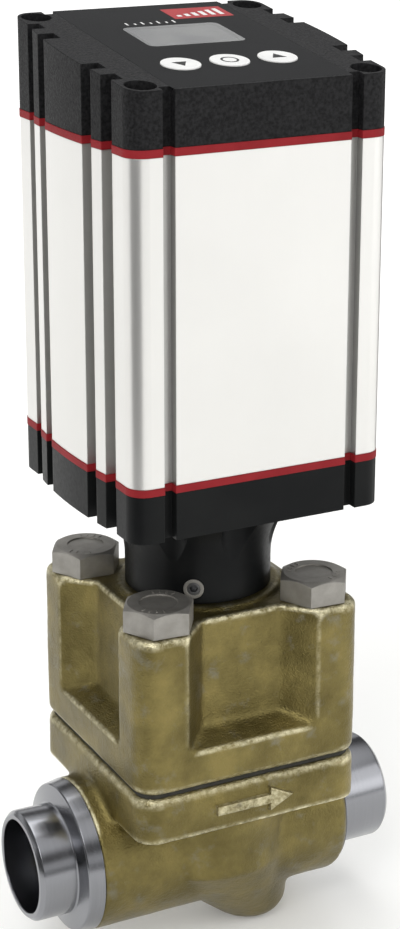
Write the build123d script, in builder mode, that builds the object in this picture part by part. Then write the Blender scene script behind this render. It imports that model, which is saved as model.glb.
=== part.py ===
"""Motor-operated refrigeration valve: a cast body to weld in a pipe, a bolted bonnet, a stepper actuator.

The motor turns a cup of magnets round a sealed steel can. Magnets inside the can turn the spindle,
whose thread lifts the cone off its seat. Millimetres, +Z up, +X along the flow.
The origin is the centre of the inlet's weld face, on the pipe centreline.
"""

import os
from math import cos, radians, sin, tan

from build123d import *

# Pipe ends and cast body
face_to_face = 120.0
pipe_diameter = 33.7
pipe_wall = 2.6
weld_end_length = 11.7
weld_bevel = 1.2
shoulder_length = 1.2
shoulder_drop = 0.9
bare_ring_length = 4.8
neck_diameter = 46.6
outlet_neck_reach = 41.5
outlet_neck_edge = 1.5
flange_width = 73.3
flange_corner = 7.0
flange_underside = 17.9
flange_thickness = 14.4
flange_top_edge = 2.2
bowl_radius = 28.5
bowl_straight_bottom = -4.0
chin_radius = 11.0
chin_offset = 19.0
chin_depth = 33.0
chin_rounding = 8.0
pipe_bore_depth = 16.0

# Passages and chamber inside the body
passage_radius = 7.5
inlet_drop = 1.5
inlet_low_point = 12.5
outlet_high_point = 10.5
throat_radius = 10.0
throat_bottom = -18.0
web_top = 1.0
cage_foot_depth = 5.0
chamber_radius = 20.5

# Flow arrow cast on the front of the body
arrow_length = 25.0
arrow_shaft = 2.4
arrow_head = 7.0
arrow_relief = 0.6

# Bonnet
gasket_thickness = 1.2
gasket_margin = 1.6
bonnet_height = 48.5
bonnet_edge = 2.0
pocket_lip = 11.4
pocket_floor_rise = 3.6
pocket_depth = 8.7
pocket_opening = 43.0
pocket_back = 25.4
land_radius = 25.0
land_height = 1.5
spindle_bore_radius = 6.4

# Bonnet bolts
bolt_spacing = 51.2
bolt_diameter = 12.0
bolt_across_flats = 19.0
bolt_head_height = 7.5
bolt_crown_inset = 0.5
crown_slope = 30.0
bolt_dish_radius = 5.6
bolt_dish_depth = 0.4
bolt_engagement = 12.2
bolt_hole_spare = 1.2
bolt_turn = -3.0

# Flow module: cage, seat and cone
cage_radius = 17.0
cage_bore_radius = 12.5
cavity_step = 1.0
cage_collar_radius = 23.0
cage_collar_thickness = 4.7
seat_thickness = 4.0
seat_outer_radius = 14.0
seat_bore_radius = 9.5
window_gap = 1.5
window_height = 10.5
window_width = 13.0
window_count = 4
cone_length = 20.0
cone_floor = 3.5
cone_bore_gap = 0.5
skirt_length = 8.0
skirt_wall = 2.0
notch_count = 3
notch_width = 6.0
stroke = 9.0
nut_radius = 6.6
nut_length = 12.0
nut_standout = 4.0
guide_pin_radius = 1.2
guide_pin_offset = 8.7
guide_pin_reach = 7.0
guide_pin_grip = 6.0
face_seal_inner = 10.0
face_seal_outer = 12.0
face_seal_height = 1.6
piston_ring_height = 2.0
piston_ring_depth = 1.2
piston_ring_drop = 5.0
headroom = 4.0

# Spindle and its ball bearing
spindle_radius = 4.0
spindle_reach = 5.0
spindle_collar_radius = 5.6
spindle_collar_length = 3.0
spindle_tip = 0.8
bearing_outer_radius = 11.0
bearing_width = 7.0
bearing_ring = 2.1
bearing_ball_count = 8
ball_to_race = 0.08
race_depth = 0.55
ball_cage_width = 4.8
ball_cage_gap = 0.55
circlip_thickness = 1.2
circlip_bite = 0.9
circlip_reach = 1.6
circlip_mouth = 4.0

# Sealed can and the magnets inside it
can_thread_radius = 15.0
can_thread_length = 18.0
can_collar_radius = 17.0
can_collar_height = 13.0
can_radius = 12.5
can_wall = 0.8
can_lid = 1.2
can_height = 40.0
magnet_headroom = 1.8
magnet_count = 6
magnet_gap = 0.6
inner_magnet_radius = 11.2
inner_magnet_thickness = 3.0
rotor_clearance = 1.0

# Actuator base and its neck
neck_height = 30.0
base_neck_radius = 22.0
base_neck_straight = 8.0
flare_radius = 33.0
flute_count = 8
flute_width = 12.0
flute_reach = 15.0
flute_core = 22.4
neck_wall = 2.7
base_height = 13.8
base_floor = 3.0
set_screw_height = 4.8
set_screw_radius = 2.0
set_screw_socket = 1.1
set_screw_count = 3
insert_radius = 3.0
insert_standout = 0.3

# Actuator section, shared by base, gaskets, housing and cap
housing_width = 79.2
housing_depth = 80.0
side_bow = 2.2
corner_radius = 5.4
front_groove = 28.6
front_groove_width = 3.6
front_groove_depth = 2.8
side_groove_inner = 15.2
side_groove_outer = 25.6
side_groove_width = 5.2
side_groove_depth = 3.4
groove_wall = 2.2
pad_radius = 8.0
seal_thickness = 2.2
seal_proud = 0.15
extrusion_length = 91.5
cap_front_height = 15.4
cap_tilt = 8.1
cap_plate = 3.0

# Cap screws
screw_radius = 2.0
screw_hole_gap = 0.25
screw_head_radius = 3.5
screw_head_height = 4.0
screw_socket_radius = 1.7
screw_counterbore_radius = 4.4
screw_seat = 5.0
screw_engagement = 10.0

# Keypad and display in the sloped face
foil_width = 54.0
foil_thickness = 0.6
foil_margin = 1.2
display_x = 30.4
display_y = 20.0
display_centre = 8.5
display_corner = 2.2
display_thickness = 1.5
display_ledge = 1.6
button_radius = 5.6
button_spacing = 14.9
button_row = -19.6
button_gap = 0.1
button_proud = 0.35
button_travel = 0.4
button_flange = 0.9
button_flange_thickness = 0.8
button_stem_radius = 1.8
board_thickness = 1.6
board_depth = 10.5
display_board_x = 53.2
display_board_y = 56.0
post_radius = 2.6
post_inset = 3.4
board_screw_radius = 1.0
board_screw_head = 2.0
board_screw_head_height = 1.4
board_screw_grip = 4.0
switch_size = 6.2
switch_height = 3.8
switch_well = 1.2
lcd_x = 36.0
lcd_y = 25.0
lcd_gap = 0.4

# Magnet cup and motor
running_gap = 0.9
outer_magnet_thickness = 2.9
cup_wall = 2.0
cup_lid = 2.5
cup_clearance = 1.5
hub_radius = 7.0
hub_length = 7.0
motor_shaft_radius = 3.175
motor_shaft_tail = 1.5
motor_shaft_gap = 1.0
motor_width = 56.4
motor_corner = 3.0
motor_corner_cut = 15.2
motor_hole_spacing = 47.14
bell_height = 8.5
bell_face = 1.5
bell_wall = 2.4
stator_height = 35.0
rotor_radius = 18.0
rotor_air_gap = 0.3
rotor_end_play = 3.0
coil_count = 8
coil_centre = 22.4
coil_depth = 5.2
coil_width = 9.0
coil_corner = 1.3
coil_overhang = 4.0
standoff_radius = 3.8
motor_screw_radius = 1.6
motor_screw_head = 2.9
motor_screw_head_height = 3.0
motor_screw_grip = 9.0
tie_screw_radius = 1.2
tie_screw_centre = 19.0
motor_bearing_outer = 8.0
motor_bearing_width = 5.0
motor_bearing_ring = 1.5
motor_ball_count = 7

# Control board and cable bushings
board_engagement = 2.8
control_board_height = 87.0
board_slot_gap = 0.15
control_board_inset = 8.6
capacitor_radius = 5.0
capacitor_length = 13.0
capacitor_edge = 0.6
capacitor_spacing = 26.0
connector_x = 12.0
connector_y = 8.0
connector_z = 9.0
component_height = 77.0
bushing_radius = 4.6
bushing_hole = 2.2
bushing_length = 2.4
bushing_rim = 1.2
bushing_spacing = 24.0

# Fits
slip = 0.05
seal_section = 0.95
seal_gap = 0.02

# Places worked out from the sizes above
stem_x = face_to_face / 2
pipe_radius = pipe_diameter / 2
pipe_bore = pipe_radius - pipe_wall
body_neck_radius = neck_diameter / 2
flange_top = flange_underside + flange_thickness
bonnet_bottom = flange_top + gasket_thickness
bonnet_top = bonnet_bottom + bonnet_height
land_top = bonnet_top + land_height
seat_top = web_top + seat_thickness
chamber_bottom = web_top + cage_foot_depth
collar_bottom = bonnet_bottom - cage_collar_thickness
cone_radius = cage_bore_radius - slip
cone_top = seat_top + cone_length
cavity_top = cone_top + nut_standout + stroke + headroom
cavity_radius = cage_bore_radius + cavity_step
can_bottom = land_top - can_thread_length
bearing_top = can_bottom - 2 * circlip_thickness
bearing_bottom = bearing_top - bearing_width
can_collar_top = land_top + can_collar_height
can_top = land_top + can_height
rotor_bottom = can_collar_top + rotor_clearance
rotor_top = can_top - can_lid - magnet_headroom
base_bottom = land_top + neck_height
base_top = base_bottom + base_height
floor_top = base_bottom + base_floor
extrusion_bottom = base_top + seal_thickness
extrusion_top = extrusion_bottom + extrusion_length
cap_bottom = extrusion_top + seal_thickness
outer_magnet_inner = can_radius + running_gap
outer_magnet_outer = outer_magnet_inner + outer_magnet_thickness
cup_radius = outer_magnet_outer + cup_wall
neck_bore = base_neck_radius - neck_wall
cup_top = can_top + cup_clearance
hub_top = cup_top + cup_lid + hub_length
motor_face = hub_top + rotor_clearance
stator_bottom = motor_face + bell_height
stator_top = stator_bottom + stator_height
motor_top = stator_top + bell_height
control_board_y = housing_depth / 2 - control_board_inset
screw_x = housing_width / 2 - corner_radius
screw_y = housing_depth / 2 - corner_radius
control_board_x = 2 * (screw_x - pad_radius + board_engagement)
bolt_radius = bolt_diameter / 2
side_wall = side_groove_depth + groove_wall
rear_wall = side_groove_depth + groove_wall

stem_axis = Axis((stem_x, 0, 0), (0, 0, 1))
pipe_axis = Axis((0, 0, 0), (1, 0, 0))
stem_section = Plane(origin=(stem_x, 0, 0), x_dir=(1, 0, 0), z_dir=(0, -1, 0))

# Sloped face of the cap: centred over the stem, x to the right, y up the slope
deck_normal = (0, -sin(radians(cap_tilt)), cos(radians(cap_tilt)))
deck_height = cap_bottom + cap_front_height + housing_depth / 2 * tan(radians(cap_tilt))
deck_length = housing_depth / cos(radians(cap_tilt))
deck_centre = (stem_x, 0, deck_height)


def level(height, x=0.0, y=0.0):
    """Horizontal plane with its origin x, y from the stem and height above the pipe centreline."""
    return Plane(origin=(stem_x + x, y, height))


def below_deck(depth):
    """Plane parallel to the sloped face, depth under it."""
    return Plane(origin=deck_centre, x_dir=(1, 0, 0), z_dir=deck_normal).offset(-depth)


def radial(angle, radius, height):
    """Plane whose normal points away from the stem axis, with local y up."""
    turn = radians(angle)
    spot = (stem_x + radius * cos(turn), radius * sin(turn), height)
    return Plane(origin=spot, x_dir=(-sin(turn), cos(turn), 0), z_dir=(cos(turn), sin(turn), 0))


def ring(outer, inner, bottom, top, mode=Mode.ADD):
    """Round wall about the stem axis, or a plain cylinder when inner is 0."""
    with BuildSketch(level(bottom)) as circle:
        Circle(outer)
        if inner:
            Circle(inner, mode=Mode.SUBTRACT)
    extrude(circle.sketch, amount=top - bottom, mode=mode)


def torus(radius, section, height, mode=Mode.ADD):
    """Round-section ring about the stem axis."""
    with BuildSketch(stem_section) as circle:
        with Locations((radius, height)):
            Circle(section)
    revolve(circle.sketch, axis=stem_axis, mode=mode)


def square_bar(width, corner, bottom, top, mode=Mode.ADD):
    """Rounded square prism about the stem axis."""
    with BuildSketch(level(bottom)) as square:
        RectangleRounded(width, width, corner)
    extrude(square.sketch, amount=top - bottom, mode=mode)


def actuator_section(plane, cavity=False, board_slot=False):
    """Outline shared by the base, gaskets, housing and cap, or the hollow inside it."""
    half_width = housing_width / 2
    half_depth = housing_depth / 2
    bow_end = side_groove_outer + side_groove_width / 2
    with BuildSketch(plane) as section:
        if cavity:
            Rectangle(2 * (half_width - side_wall), 2 * (half_depth - rear_wall))
            with GridLocations(2 * screw_x, 2 * screw_y, 2, 2):
                Circle(pad_radius, mode=Mode.SUBTRACT)
            if board_slot:
                with Locations((0, control_board_y)):
                    Rectangle(control_board_x + 2 * board_slot_gap, board_thickness + 2 * board_slot_gap)
        else:
            RectangleRounded(housing_width, housing_depth, corner_radius)
            for side in (-1, 1):
                with BuildLine():
                    start = (side * half_width, -bow_end)
                    crown = (side * (half_width + side_bow), 0)
                    end = (side * half_width, bow_end)
                    ThreePointArc(start, crown, end)
                    Line(end, start)
                make_face()
            for offset in (side_groove_inner, side_groove_outer):
                with GridLocations(2 * (half_width + side_bow), 2 * offset, 2, 2):
                    Rectangle(2 * (side_groove_depth + side_bow), side_groove_width, mode=Mode.SUBTRACT)
            with GridLocations(2 * front_groove, 2 * half_depth, 2, 2):
                Rectangle(front_groove_width, 2 * front_groove_depth, mode=Mode.SUBTRACT)
    return section.sketch


def screw_channels(bottom, top, radius):
    """Cuts the four corner holes for the cap screws."""
    with BuildSketch(level(bottom)) as holes:
        with GridLocations(2 * screw_x, 2 * screw_y, 2, 2):
            Circle(radius)
    extrude(holes.sketch, amount=top - bottom, mode=Mode.SUBTRACT)


def magnets(outer, inner, bottom, top):
    """Ring of arc magnets with a small gap between neighbours."""
    with BuildSketch(level(bottom)) as arcs:
        Circle(outer)
        Circle(inner, mode=Mode.SUBTRACT)
        with PolarLocations(outer / 2, magnet_count):
            Rectangle(outer + magnet_gap, magnet_gap, mode=Mode.SUBTRACT)
    extrude(arcs.sketch, amount=top - bottom)


def circlip(outer, inner, bottom, top):
    """Flat snap ring with a gap towards the rear."""
    with BuildSketch(level(bottom)) as clip:
        Circle(outer)
        Circle(inner, mode=Mode.SUBTRACT)
        with Locations((0, outer)):
            Rectangle(circlip_mouth, 2 * (outer - inner) + circlip_mouth, mode=Mode.SUBTRACT)
    extrude(clip.sketch, amount=top - bottom)


def save(piece, label):
    """Labels a finished piece and writes it as the node of that name."""
    piece.part.label = label
    export_step(piece.part, f"parts/{label}.step")


os.makedirs("parts", exist_ok=True)

# Valve body: one casting with machined weld ends
neck_start = weld_end_length + shoulder_length + bare_ring_length
outlet_neck_end = stem_x + outlet_neck_reach
bolt_hole_radius = bolt_radius + slip
passage_overlap = 1.0

with BuildPart() as valve_body:
    with BuildSketch(level(bowl_straight_bottom)):
        Circle(bowl_radius)
    with BuildSketch(level(-chin_depth, chin_offset)):
        Circle(chin_radius)
    loft()
    fillet(valve_body.edges().group_by(Axis.Z)[0], chin_rounding)
    ring(bowl_radius, 0, bowl_straight_bottom, flange_top)
    with BuildSketch(Plane.XZ) as pipe_profile:
        with BuildLine():
            Polyline(
                (0, 0),
                (0, pipe_radius - weld_bevel),
                (weld_bevel, pipe_radius),
                (weld_end_length, pipe_radius),
                (weld_end_length + shoulder_length, body_neck_radius - shoulder_drop),
                (neck_start, body_neck_radius),
                (outlet_neck_end - outlet_neck_edge, body_neck_radius),
                (outlet_neck_end, body_neck_radius - outlet_neck_edge),
                (outlet_neck_end, pipe_radius),
                (face_to_face - weld_bevel, pipe_radius),
                (face_to_face, pipe_radius - weld_bevel),
                (face_to_face, 0),
                close=True,
            )
        make_face()
    revolve(axis=pipe_axis)
    square_bar(flange_width, flange_corner, flange_underside, flange_top)
    rim = valve_body.faces().sort_by(Axis.Z)[-1].edges()
    fillet(rim, flange_top_edge)
    with BuildSketch(Plane(origin=(stem_x, -flange_width / 2, flange_underside + flange_thickness / 2),
                           x_dir=(1, 0, 0), z_dir=(0, -1, 0))) as arrow:
        with BuildLine():
            Polyline(
                (-arrow_length / 2, -arrow_shaft / 2),
                (arrow_length / 2 - arrow_head, -arrow_shaft / 2),
                (arrow_length / 2 - arrow_head, -arrow_head / 2),
                (arrow_length / 2, 0),
                (arrow_length / 2 - arrow_head, arrow_head / 2),
                (arrow_length / 2 - arrow_head, arrow_shaft / 2),
                (-arrow_length / 2, arrow_shaft / 2),
                close=True,
            )
        make_face()
    extrude(arrow.sketch, amount=arrow_relief)
    extrude(arrow.sketch, amount=-arrow_relief)
    with BuildSketch(Plane.YZ) as inlet_bore:
        Circle(pipe_bore)
    extrude(inlet_bore.sketch, amount=pipe_bore_depth, mode=Mode.SUBTRACT)
    with BuildSketch(Plane.YZ.offset(face_to_face)) as outlet_bore:
        Circle(pipe_bore)
    extrude(outlet_bore.sketch, amount=-pipe_bore_depth, mode=Mode.SUBTRACT)
    inlet_start = Vector(pipe_bore_depth - passage_overlap, 0, -inlet_drop)
    inlet_end = Vector(stem_x, 0, -inlet_low_point)
    with BuildSketch(Plane(origin=inlet_start, z_dir=inlet_end - inlet_start)) as inlet_passage:
        Circle(passage_radius)
    extrude(inlet_passage.sketch, amount=(inlet_end - inlet_start).length, mode=Mode.SUBTRACT)
    outlet_start = Vector(stem_x + chamber_radius - passage_overlap, 0, outlet_high_point)
    outlet_end = Vector(face_to_face - pipe_bore_depth + passage_overlap, 0, 0)
    with BuildSketch(Plane(origin=outlet_start, z_dir=outlet_end - outlet_start)) as outlet_passage:
        Circle(passage_radius)
    extrude(outlet_passage.sketch, amount=(outlet_end - outlet_start).length, mode=Mode.SUBTRACT)
    ring(throat_radius, 0, throat_bottom, web_top, Mode.SUBTRACT)
    ring(cage_radius + slip, 0, web_top, chamber_bottom, Mode.SUBTRACT)
    ring(chamber_radius, 0, chamber_bottom, flange_top, Mode.SUBTRACT)
    ring(cage_collar_radius + slip, 0, collar_bottom, flange_top, Mode.SUBTRACT)
    bolt_hole_bottom = flange_top - bolt_engagement - bolt_hole_spare
    with BuildSketch(level(flange_top)) as bolt_holes:
        with GridLocations(bolt_spacing, bolt_spacing, 2, 2):
            Circle(bolt_hole_radius)
    extrude(bolt_holes.sketch, amount=bolt_hole_bottom - flange_top, mode=Mode.SUBTRACT)
save(valve_body, "valve_body")

# Body gasket: flat sheet between the two castings
with BuildPart() as body_gasket:
    gasket_width = flange_width - 2 * gasket_margin
    square_bar(gasket_width, flange_corner - gasket_margin, flange_top, bonnet_bottom)
    ring(cage_collar_radius + slip, 0, flange_top, bonnet_bottom, Mode.SUBTRACT)
    with BuildSketch(level(flange_top)) as gasket_holes:
        with GridLocations(bolt_spacing, bolt_spacing, 2, 2):
            Circle(bolt_hole_radius)
    extrude(gasket_holes.sketch, amount=gasket_thickness, mode=Mode.SUBTRACT)
save(body_gasket, "body_gasket")

# Bonnet: square casting with a pocket in each side and a boss at each corner
with BuildPart() as bonnet:
    square_bar(flange_width, flange_corner, bonnet_bottom, bonnet_top)
    fillet(bonnet.faces().sort_by(Axis.Z)[-1].edges(), bonnet_edge)
    fillet(bonnet.faces().sort_by(Axis.Z)[0].edges(), bonnet_edge)
    for angle in range(0, 360, 90):
        face_plane = radial(angle, flange_width / 2, bonnet_bottom)
        pocket_top = bonnet_height + bonnet_edge
        outer_height = pocket_top - pocket_lip
        inner_height = outer_height - pocket_floor_rise
        with BuildSketch(face_plane) as pocket_mouth:
            with Locations((0, pocket_top - outer_height / 2)):
                Rectangle(pocket_opening, outer_height)
        with BuildSketch(face_plane.offset(-pocket_depth)) as pocket_wall:
            with Locations((0, pocket_top - inner_height / 2)):
                Rectangle(pocket_back, inner_height)
        loft([pocket_mouth.sketch, pocket_wall.sketch], mode=Mode.SUBTRACT)
    ring(land_radius, 0, bonnet_top - bonnet_edge, land_top)
    ring(cavity_radius, 0, bonnet_bottom, cavity_top, Mode.SUBTRACT)
    ring(spindle_bore_radius, 0, cavity_top, bearing_bottom, Mode.SUBTRACT)
    ring(bearing_outer_radius, 0, bearing_bottom, can_bottom, Mode.SUBTRACT)
    ring(bearing_outer_radius + circlip_bite, 0, bearing_top, bearing_top + circlip_thickness, Mode.SUBTRACT)
    ring(can_thread_radius, 0, can_bottom, land_top, Mode.SUBTRACT)
    o_ring_room = 2 * (seal_section + seal_gap)
    ring(can_thread_radius + o_ring_room, 0, land_top - o_ring_room, land_top, Mode.SUBTRACT)
    with BuildSketch(level(bonnet_bottom)) as bonnet_holes:
        with GridLocations(bolt_spacing, bolt_spacing, 2, 2):
            Circle(bolt_hole_radius)
    extrude(bonnet_holes.sketch, amount=bonnet_height, mode=Mode.SUBTRACT)
    with BuildSketch(level(cavity_top)) as pin_hole:
        with Locations((0, guide_pin_offset)):
            Circle(guide_pin_radius)
    extrude(pin_hole.sketch, amount=guide_pin_grip, mode=Mode.SUBTRACT)
save(bonnet, "bonnet")

# Bonnet bolts: four hexagon bolts through the bonnet into the body
with BuildPart() as bonnet_bolts:
    bolt_length = bonnet_top - flange_top + bolt_engagement
    head_top = bonnet_top + bolt_head_height
    with BuildSketch(level(bonnet_top)) as bolt_heads:
        with GridLocations(bolt_spacing, bolt_spacing, 2, 2):
            RegularPolygon(bolt_across_flats / 2, 6, major_radius=False, rotation=bolt_turn)
    extrude(bolt_heads.sketch, amount=bolt_head_height)
    crown_radius = bolt_across_flats / 2 - bolt_crown_inset
    corner_reach = bolt_across_flats / 2 / cos(radians(crown_slope)) + bolt_crown_inset
    crown_drop = (corner_reach - crown_radius) * tan(radians(crown_slope))
    for centre_x, centre_y in ((-1, -1), (1, -1), (1, 1), (-1, 1)):
        bolt_centre = (stem_x + centre_x * bolt_spacing / 2, centre_y * bolt_spacing / 2, head_top)
        with BuildSketch(Plane(origin=bolt_centre, x_dir=(1, 0, 0), z_dir=(0, -1, 0))) as crown:
            with BuildLine():
                Polyline((crown_radius, 0), (corner_reach, 0), (corner_reach, -crown_drop), close=True)
            make_face()
        revolve(crown.sketch, axis=Axis(bolt_centre, (0, 0, 1)), mode=Mode.SUBTRACT)
    with BuildSketch(level(head_top)) as dishes:
        with GridLocations(bolt_spacing, bolt_spacing, 2, 2):
            Circle(bolt_dish_radius)
    extrude(dishes.sketch, amount=-bolt_dish_depth, mode=Mode.SUBTRACT)
    with BuildSketch(level(bonnet_top)) as shanks:
        with GridLocations(bolt_spacing, bolt_spacing, 2, 2):
            Circle(bolt_radius)
    extrude(shanks.sketch, amount=-bolt_length)
save(bonnet_bolts, "bonnet_bolts")

# Seat ring: pressed into the foot of the cage, the cone closes on its top face
with BuildPart() as seat_ring:
    ring(seat_outer_radius, seat_bore_radius, web_top, seat_top)
save(seat_ring, "seat_ring")

# Flow cage: guides the cone, its windows let the flow out
window_bottom = seat_top + window_gap
o_ring_radius = cage_radius + slip - seal_gap - seal_section
collar_ring_radius = cage_collar_radius + slip - seal_gap - seal_section
groove_height = 2 * (seal_section + seal_gap)
foot_ring_height = web_top + cage_foot_depth / 2
collar_ring_height = collar_bottom + (flange_top - collar_bottom) / 2

with BuildPart() as flow_cage:
    ring(cage_radius, cage_bore_radius, web_top, bonnet_bottom)
    ring(cage_collar_radius, cage_bore_radius, collar_bottom, bonnet_bottom)
    ring(seat_outer_radius, 0, web_top, seat_top, Mode.SUBTRACT)
    for o_ring_seat, height in ((o_ring_radius, foot_ring_height), (collar_ring_radius, collar_ring_height)):
        groove_floor = o_ring_seat - seal_section - seal_gap
        groove_mouth = o_ring_seat + groove_height
        with BuildSketch(level(height - groove_height / 2)) as o_ring_groove:
            Circle(groove_mouth)
            Circle(groove_floor, mode=Mode.SUBTRACT)
        extrude(o_ring_groove.sketch, amount=groove_height, mode=Mode.SUBTRACT)
    for turn in range(window_count // 2):
        window_plane = radial(180 * turn / (window_count // 2), 0, window_bottom + window_height / 2)
        with BuildSketch(window_plane) as window:
            RectangleRounded(window_width, window_height, window_gap)
        extrude(window.sketch, amount=cage_collar_radius, both=True, mode=Mode.SUBTRACT)
save(flow_cage, "flow_cage")

# Cage O-rings: one round the foot and one round the collar
with BuildPart() as cage_o_rings:
    torus(o_ring_radius, seal_section, foot_ring_height)
    torus(collar_ring_radius, seal_section, collar_ring_height)
save(cage_o_rings, "cage_o_rings")

# Valve cone: a balanced piston with a notched skirt that reaches down through the seat
nut_bottom = cone_top + nut_standout - nut_length
piston_ring_top = cone_top - piston_ring_drop
cone_bore = spindle_radius + cone_bore_gap
skirt_radius = seat_bore_radius - 2 * slip
skirt_bottom = seat_top - skirt_length

with BuildPart() as valve_cone:
    ring(cone_radius, 0, seat_top, cone_top)
    ring(skirt_radius, 0, skirt_bottom, seat_top)
    ring(skirt_radius - skirt_wall, 0, skirt_bottom, seat_top, Mode.SUBTRACT)
    ring(cone_bore, 0, seat_top, cone_top, Mode.SUBTRACT)
    ring(nut_radius, 0, nut_bottom, cone_top, Mode.SUBTRACT)
    ring(face_seal_outer, face_seal_inner, seat_top, seat_top + face_seal_height, Mode.SUBTRACT)
    with BuildSketch(level(piston_ring_top)) as ring_groove:
        Circle(cone_radius + piston_ring_depth)
        Circle(cone_radius - piston_ring_depth, mode=Mode.SUBTRACT)
    extrude(ring_groove.sketch, amount=-piston_ring_height, mode=Mode.SUBTRACT)
    with BuildSketch(level(seat_top + cone_floor)) as guide_hole:
        with Locations((0, guide_pin_offset)):
            Circle(guide_pin_radius + slip)
    extrude(guide_hole.sketch, amount=cone_length - cone_floor, mode=Mode.SUBTRACT)
    for turn in range(notch_count):
        with BuildSketch(radial(360 * turn / notch_count, 0, 0)) as notch:
            with BuildLine():
                Polyline(
                    (-notch_width / 2, skirt_bottom),
                    (notch_width / 2, skirt_bottom),
                    (0, seat_top - slip),
                    close=True,
                )
            make_face()
        extrude(notch.sketch, amount=seat_bore_radius, mode=Mode.SUBTRACT)
save(valve_cone, "valve_cone")

# Cone face seal: the soft ring that closes on the seat
with BuildPart() as cone_face_seal:
    ring(face_seal_outer, face_seal_inner, seat_top, seat_top + face_seal_height)
save(cone_face_seal, "cone_face_seal")

# Piston ring: seals the cone in the cage bore
with BuildPart() as piston_ring:
    ring(cone_radius, cone_radius - piston_ring_depth, piston_ring_top - piston_ring_height, piston_ring_top)
save(piston_ring, "piston_ring")

# Spindle nut: bronze, held in the top of the cone
with BuildPart() as spindle_nut:
    ring(nut_radius, spindle_radius + slip, nut_bottom, nut_bottom + nut_length)
save(spindle_nut, "spindle_nut")

# Guide pin: fixed in the bonnet, stops the cone from turning
with BuildPart() as guide_pin:
    with BuildSketch(level(cone_top - guide_pin_reach)) as pin:
        with Locations((0, guide_pin_offset)):
            Circle(guide_pin_radius)
    extrude(pin.sketch, amount=cavity_top + guide_pin_grip - cone_top + guide_pin_reach)
save(guide_pin, "guide_pin")

# Spindle: turns in its bearing, threaded below and carrying the magnets above
spindle_bottom = seat_top + spindle_reach
spindle_top = rotor_top + spindle_tip
collar_lower = bearing_bottom - spindle_collar_length

with BuildPart() as spindle:
    ring(spindle_radius, 0, spindle_bottom, spindle_top)
    ring(spindle_collar_radius, 0, collar_lower, bearing_bottom)
    chamfer(spindle.edges().group_by(Axis.Z)[0], spindle_tip)
    with BuildSketch(level(bearing_top)) as clip_groove:
        Circle(spindle_radius + circlip_bite)
        Circle(spindle_radius - circlip_bite, mode=Mode.SUBTRACT)
    extrude(clip_groove.sketch, amount=circlip_thickness, mode=Mode.SUBTRACT)
save(spindle, "spindle")


def bearing_rings(outer, bore, wall, width, middle, balls, label):
    """Outer ring, inner ring and balls of a ball bearing, once for each height in middle."""
    pitch = (outer + bore) / 2
    race = (outer - bore) / 2 - wall + race_depth
    with BuildPart() as outer_ring:
        for height in middle:
            ring(outer, outer - wall, height - width / 2, height + width / 2)
        for height in middle:
            torus(pitch, race, height, Mode.SUBTRACT)
    save(outer_ring, f"{label}_outer_ring")
    with BuildPart() as inner_ring:
        for height in middle:
            ring(bore + wall, bore, height - width / 2, height + width / 2)
        for height in middle:
            torus(pitch, race, height, Mode.SUBTRACT)
    save(inner_ring, f"{label}_inner_ring")
    with BuildPart() as ball_set:
        for height in middle:
            with Locations(level(height)):
                with PolarLocations(pitch, balls):
                    Sphere(race - ball_to_race)
    save(ball_set, f"{label}_balls")


# Spindle bearing and its ball cage
bearing_middle = (bearing_bottom + bearing_top) / 2
ball_race = (bearing_outer_radius - spindle_radius) / 2 - bearing_ring + race_depth
bearing_rings(
    bearing_outer_radius, spindle_radius, bearing_ring, bearing_width,
    (bearing_middle,), bearing_ball_count, "spindle_bearing",
)

with BuildPart() as ball_cage:
    cage_outer = bearing_outer_radius - bearing_ring - ball_cage_gap
    cage_inner = spindle_radius + bearing_ring + ball_cage_gap
    ring(cage_outer, cage_inner, bearing_middle - ball_cage_width / 2, bearing_middle + ball_cage_width / 2)
    for turn in range(bearing_ball_count):
        with BuildSketch(radial(360 * turn / bearing_ball_count, 0, bearing_middle)) as ball_pocket:
            Circle(ball_race - ball_to_race + slip)
        extrude(ball_pocket.sketch, amount=bearing_outer_radius, mode=Mode.SUBTRACT)
save(ball_cage, "ball_cage")

# Snap rings: one in the bonnet over the bearing, one on the spindle
with BuildPart() as bearing_circlip:
    clip_outer = bearing_outer_radius + circlip_bite
    circlip(clip_outer, clip_outer - circlip_reach, bearing_top, bearing_top + circlip_thickness)
save(bearing_circlip, "bearing_circlip")

with BuildPart() as spindle_circlip:
    clip_inner = spindle_radius - circlip_bite
    circlip(clip_inner + 2 * circlip_bite + slip, clip_inner, bearing_top, bearing_top + circlip_thickness)
save(spindle_circlip, "spindle_circlip")

# Magnet can: one turned and welded piece, screwed into the bonnet
with BuildPart() as magnet_can:
    ring(can_thread_radius, 0, can_bottom, land_top)
    ring(can_collar_radius, 0, land_top, can_collar_top)
    ring(can_radius, 0, can_collar_top, can_top)
    ring(can_radius - can_wall, 0, can_bottom, can_top - can_lid, Mode.SUBTRACT)
save(magnet_can, "magnet_can")

with BuildPart() as can_o_ring:
    torus(can_thread_radius + seal_gap + seal_section, seal_section, land_top - seal_gap - seal_section)
save(can_o_ring, "can_o_ring")

# Inner magnets on their carrier
with BuildPart() as magnet_carrier:
    ring(inner_magnet_radius - inner_magnet_thickness, spindle_radius, rotor_bottom, rotor_top)
save(magnet_carrier, "magnet_carrier")

with BuildPart() as inner_magnets:
    magnets(inner_magnet_radius, inner_magnet_radius - inner_magnet_thickness, rotor_bottom, rotor_top)
save(inner_magnets, "inner_magnets")

# Actuator base: one casting of neck, fluted flare, tray and motor posts
flare_start = land_top + base_neck_straight
bushing_face = radial(90, housing_depth / 2, base_bottom + base_height / 2)

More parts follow.
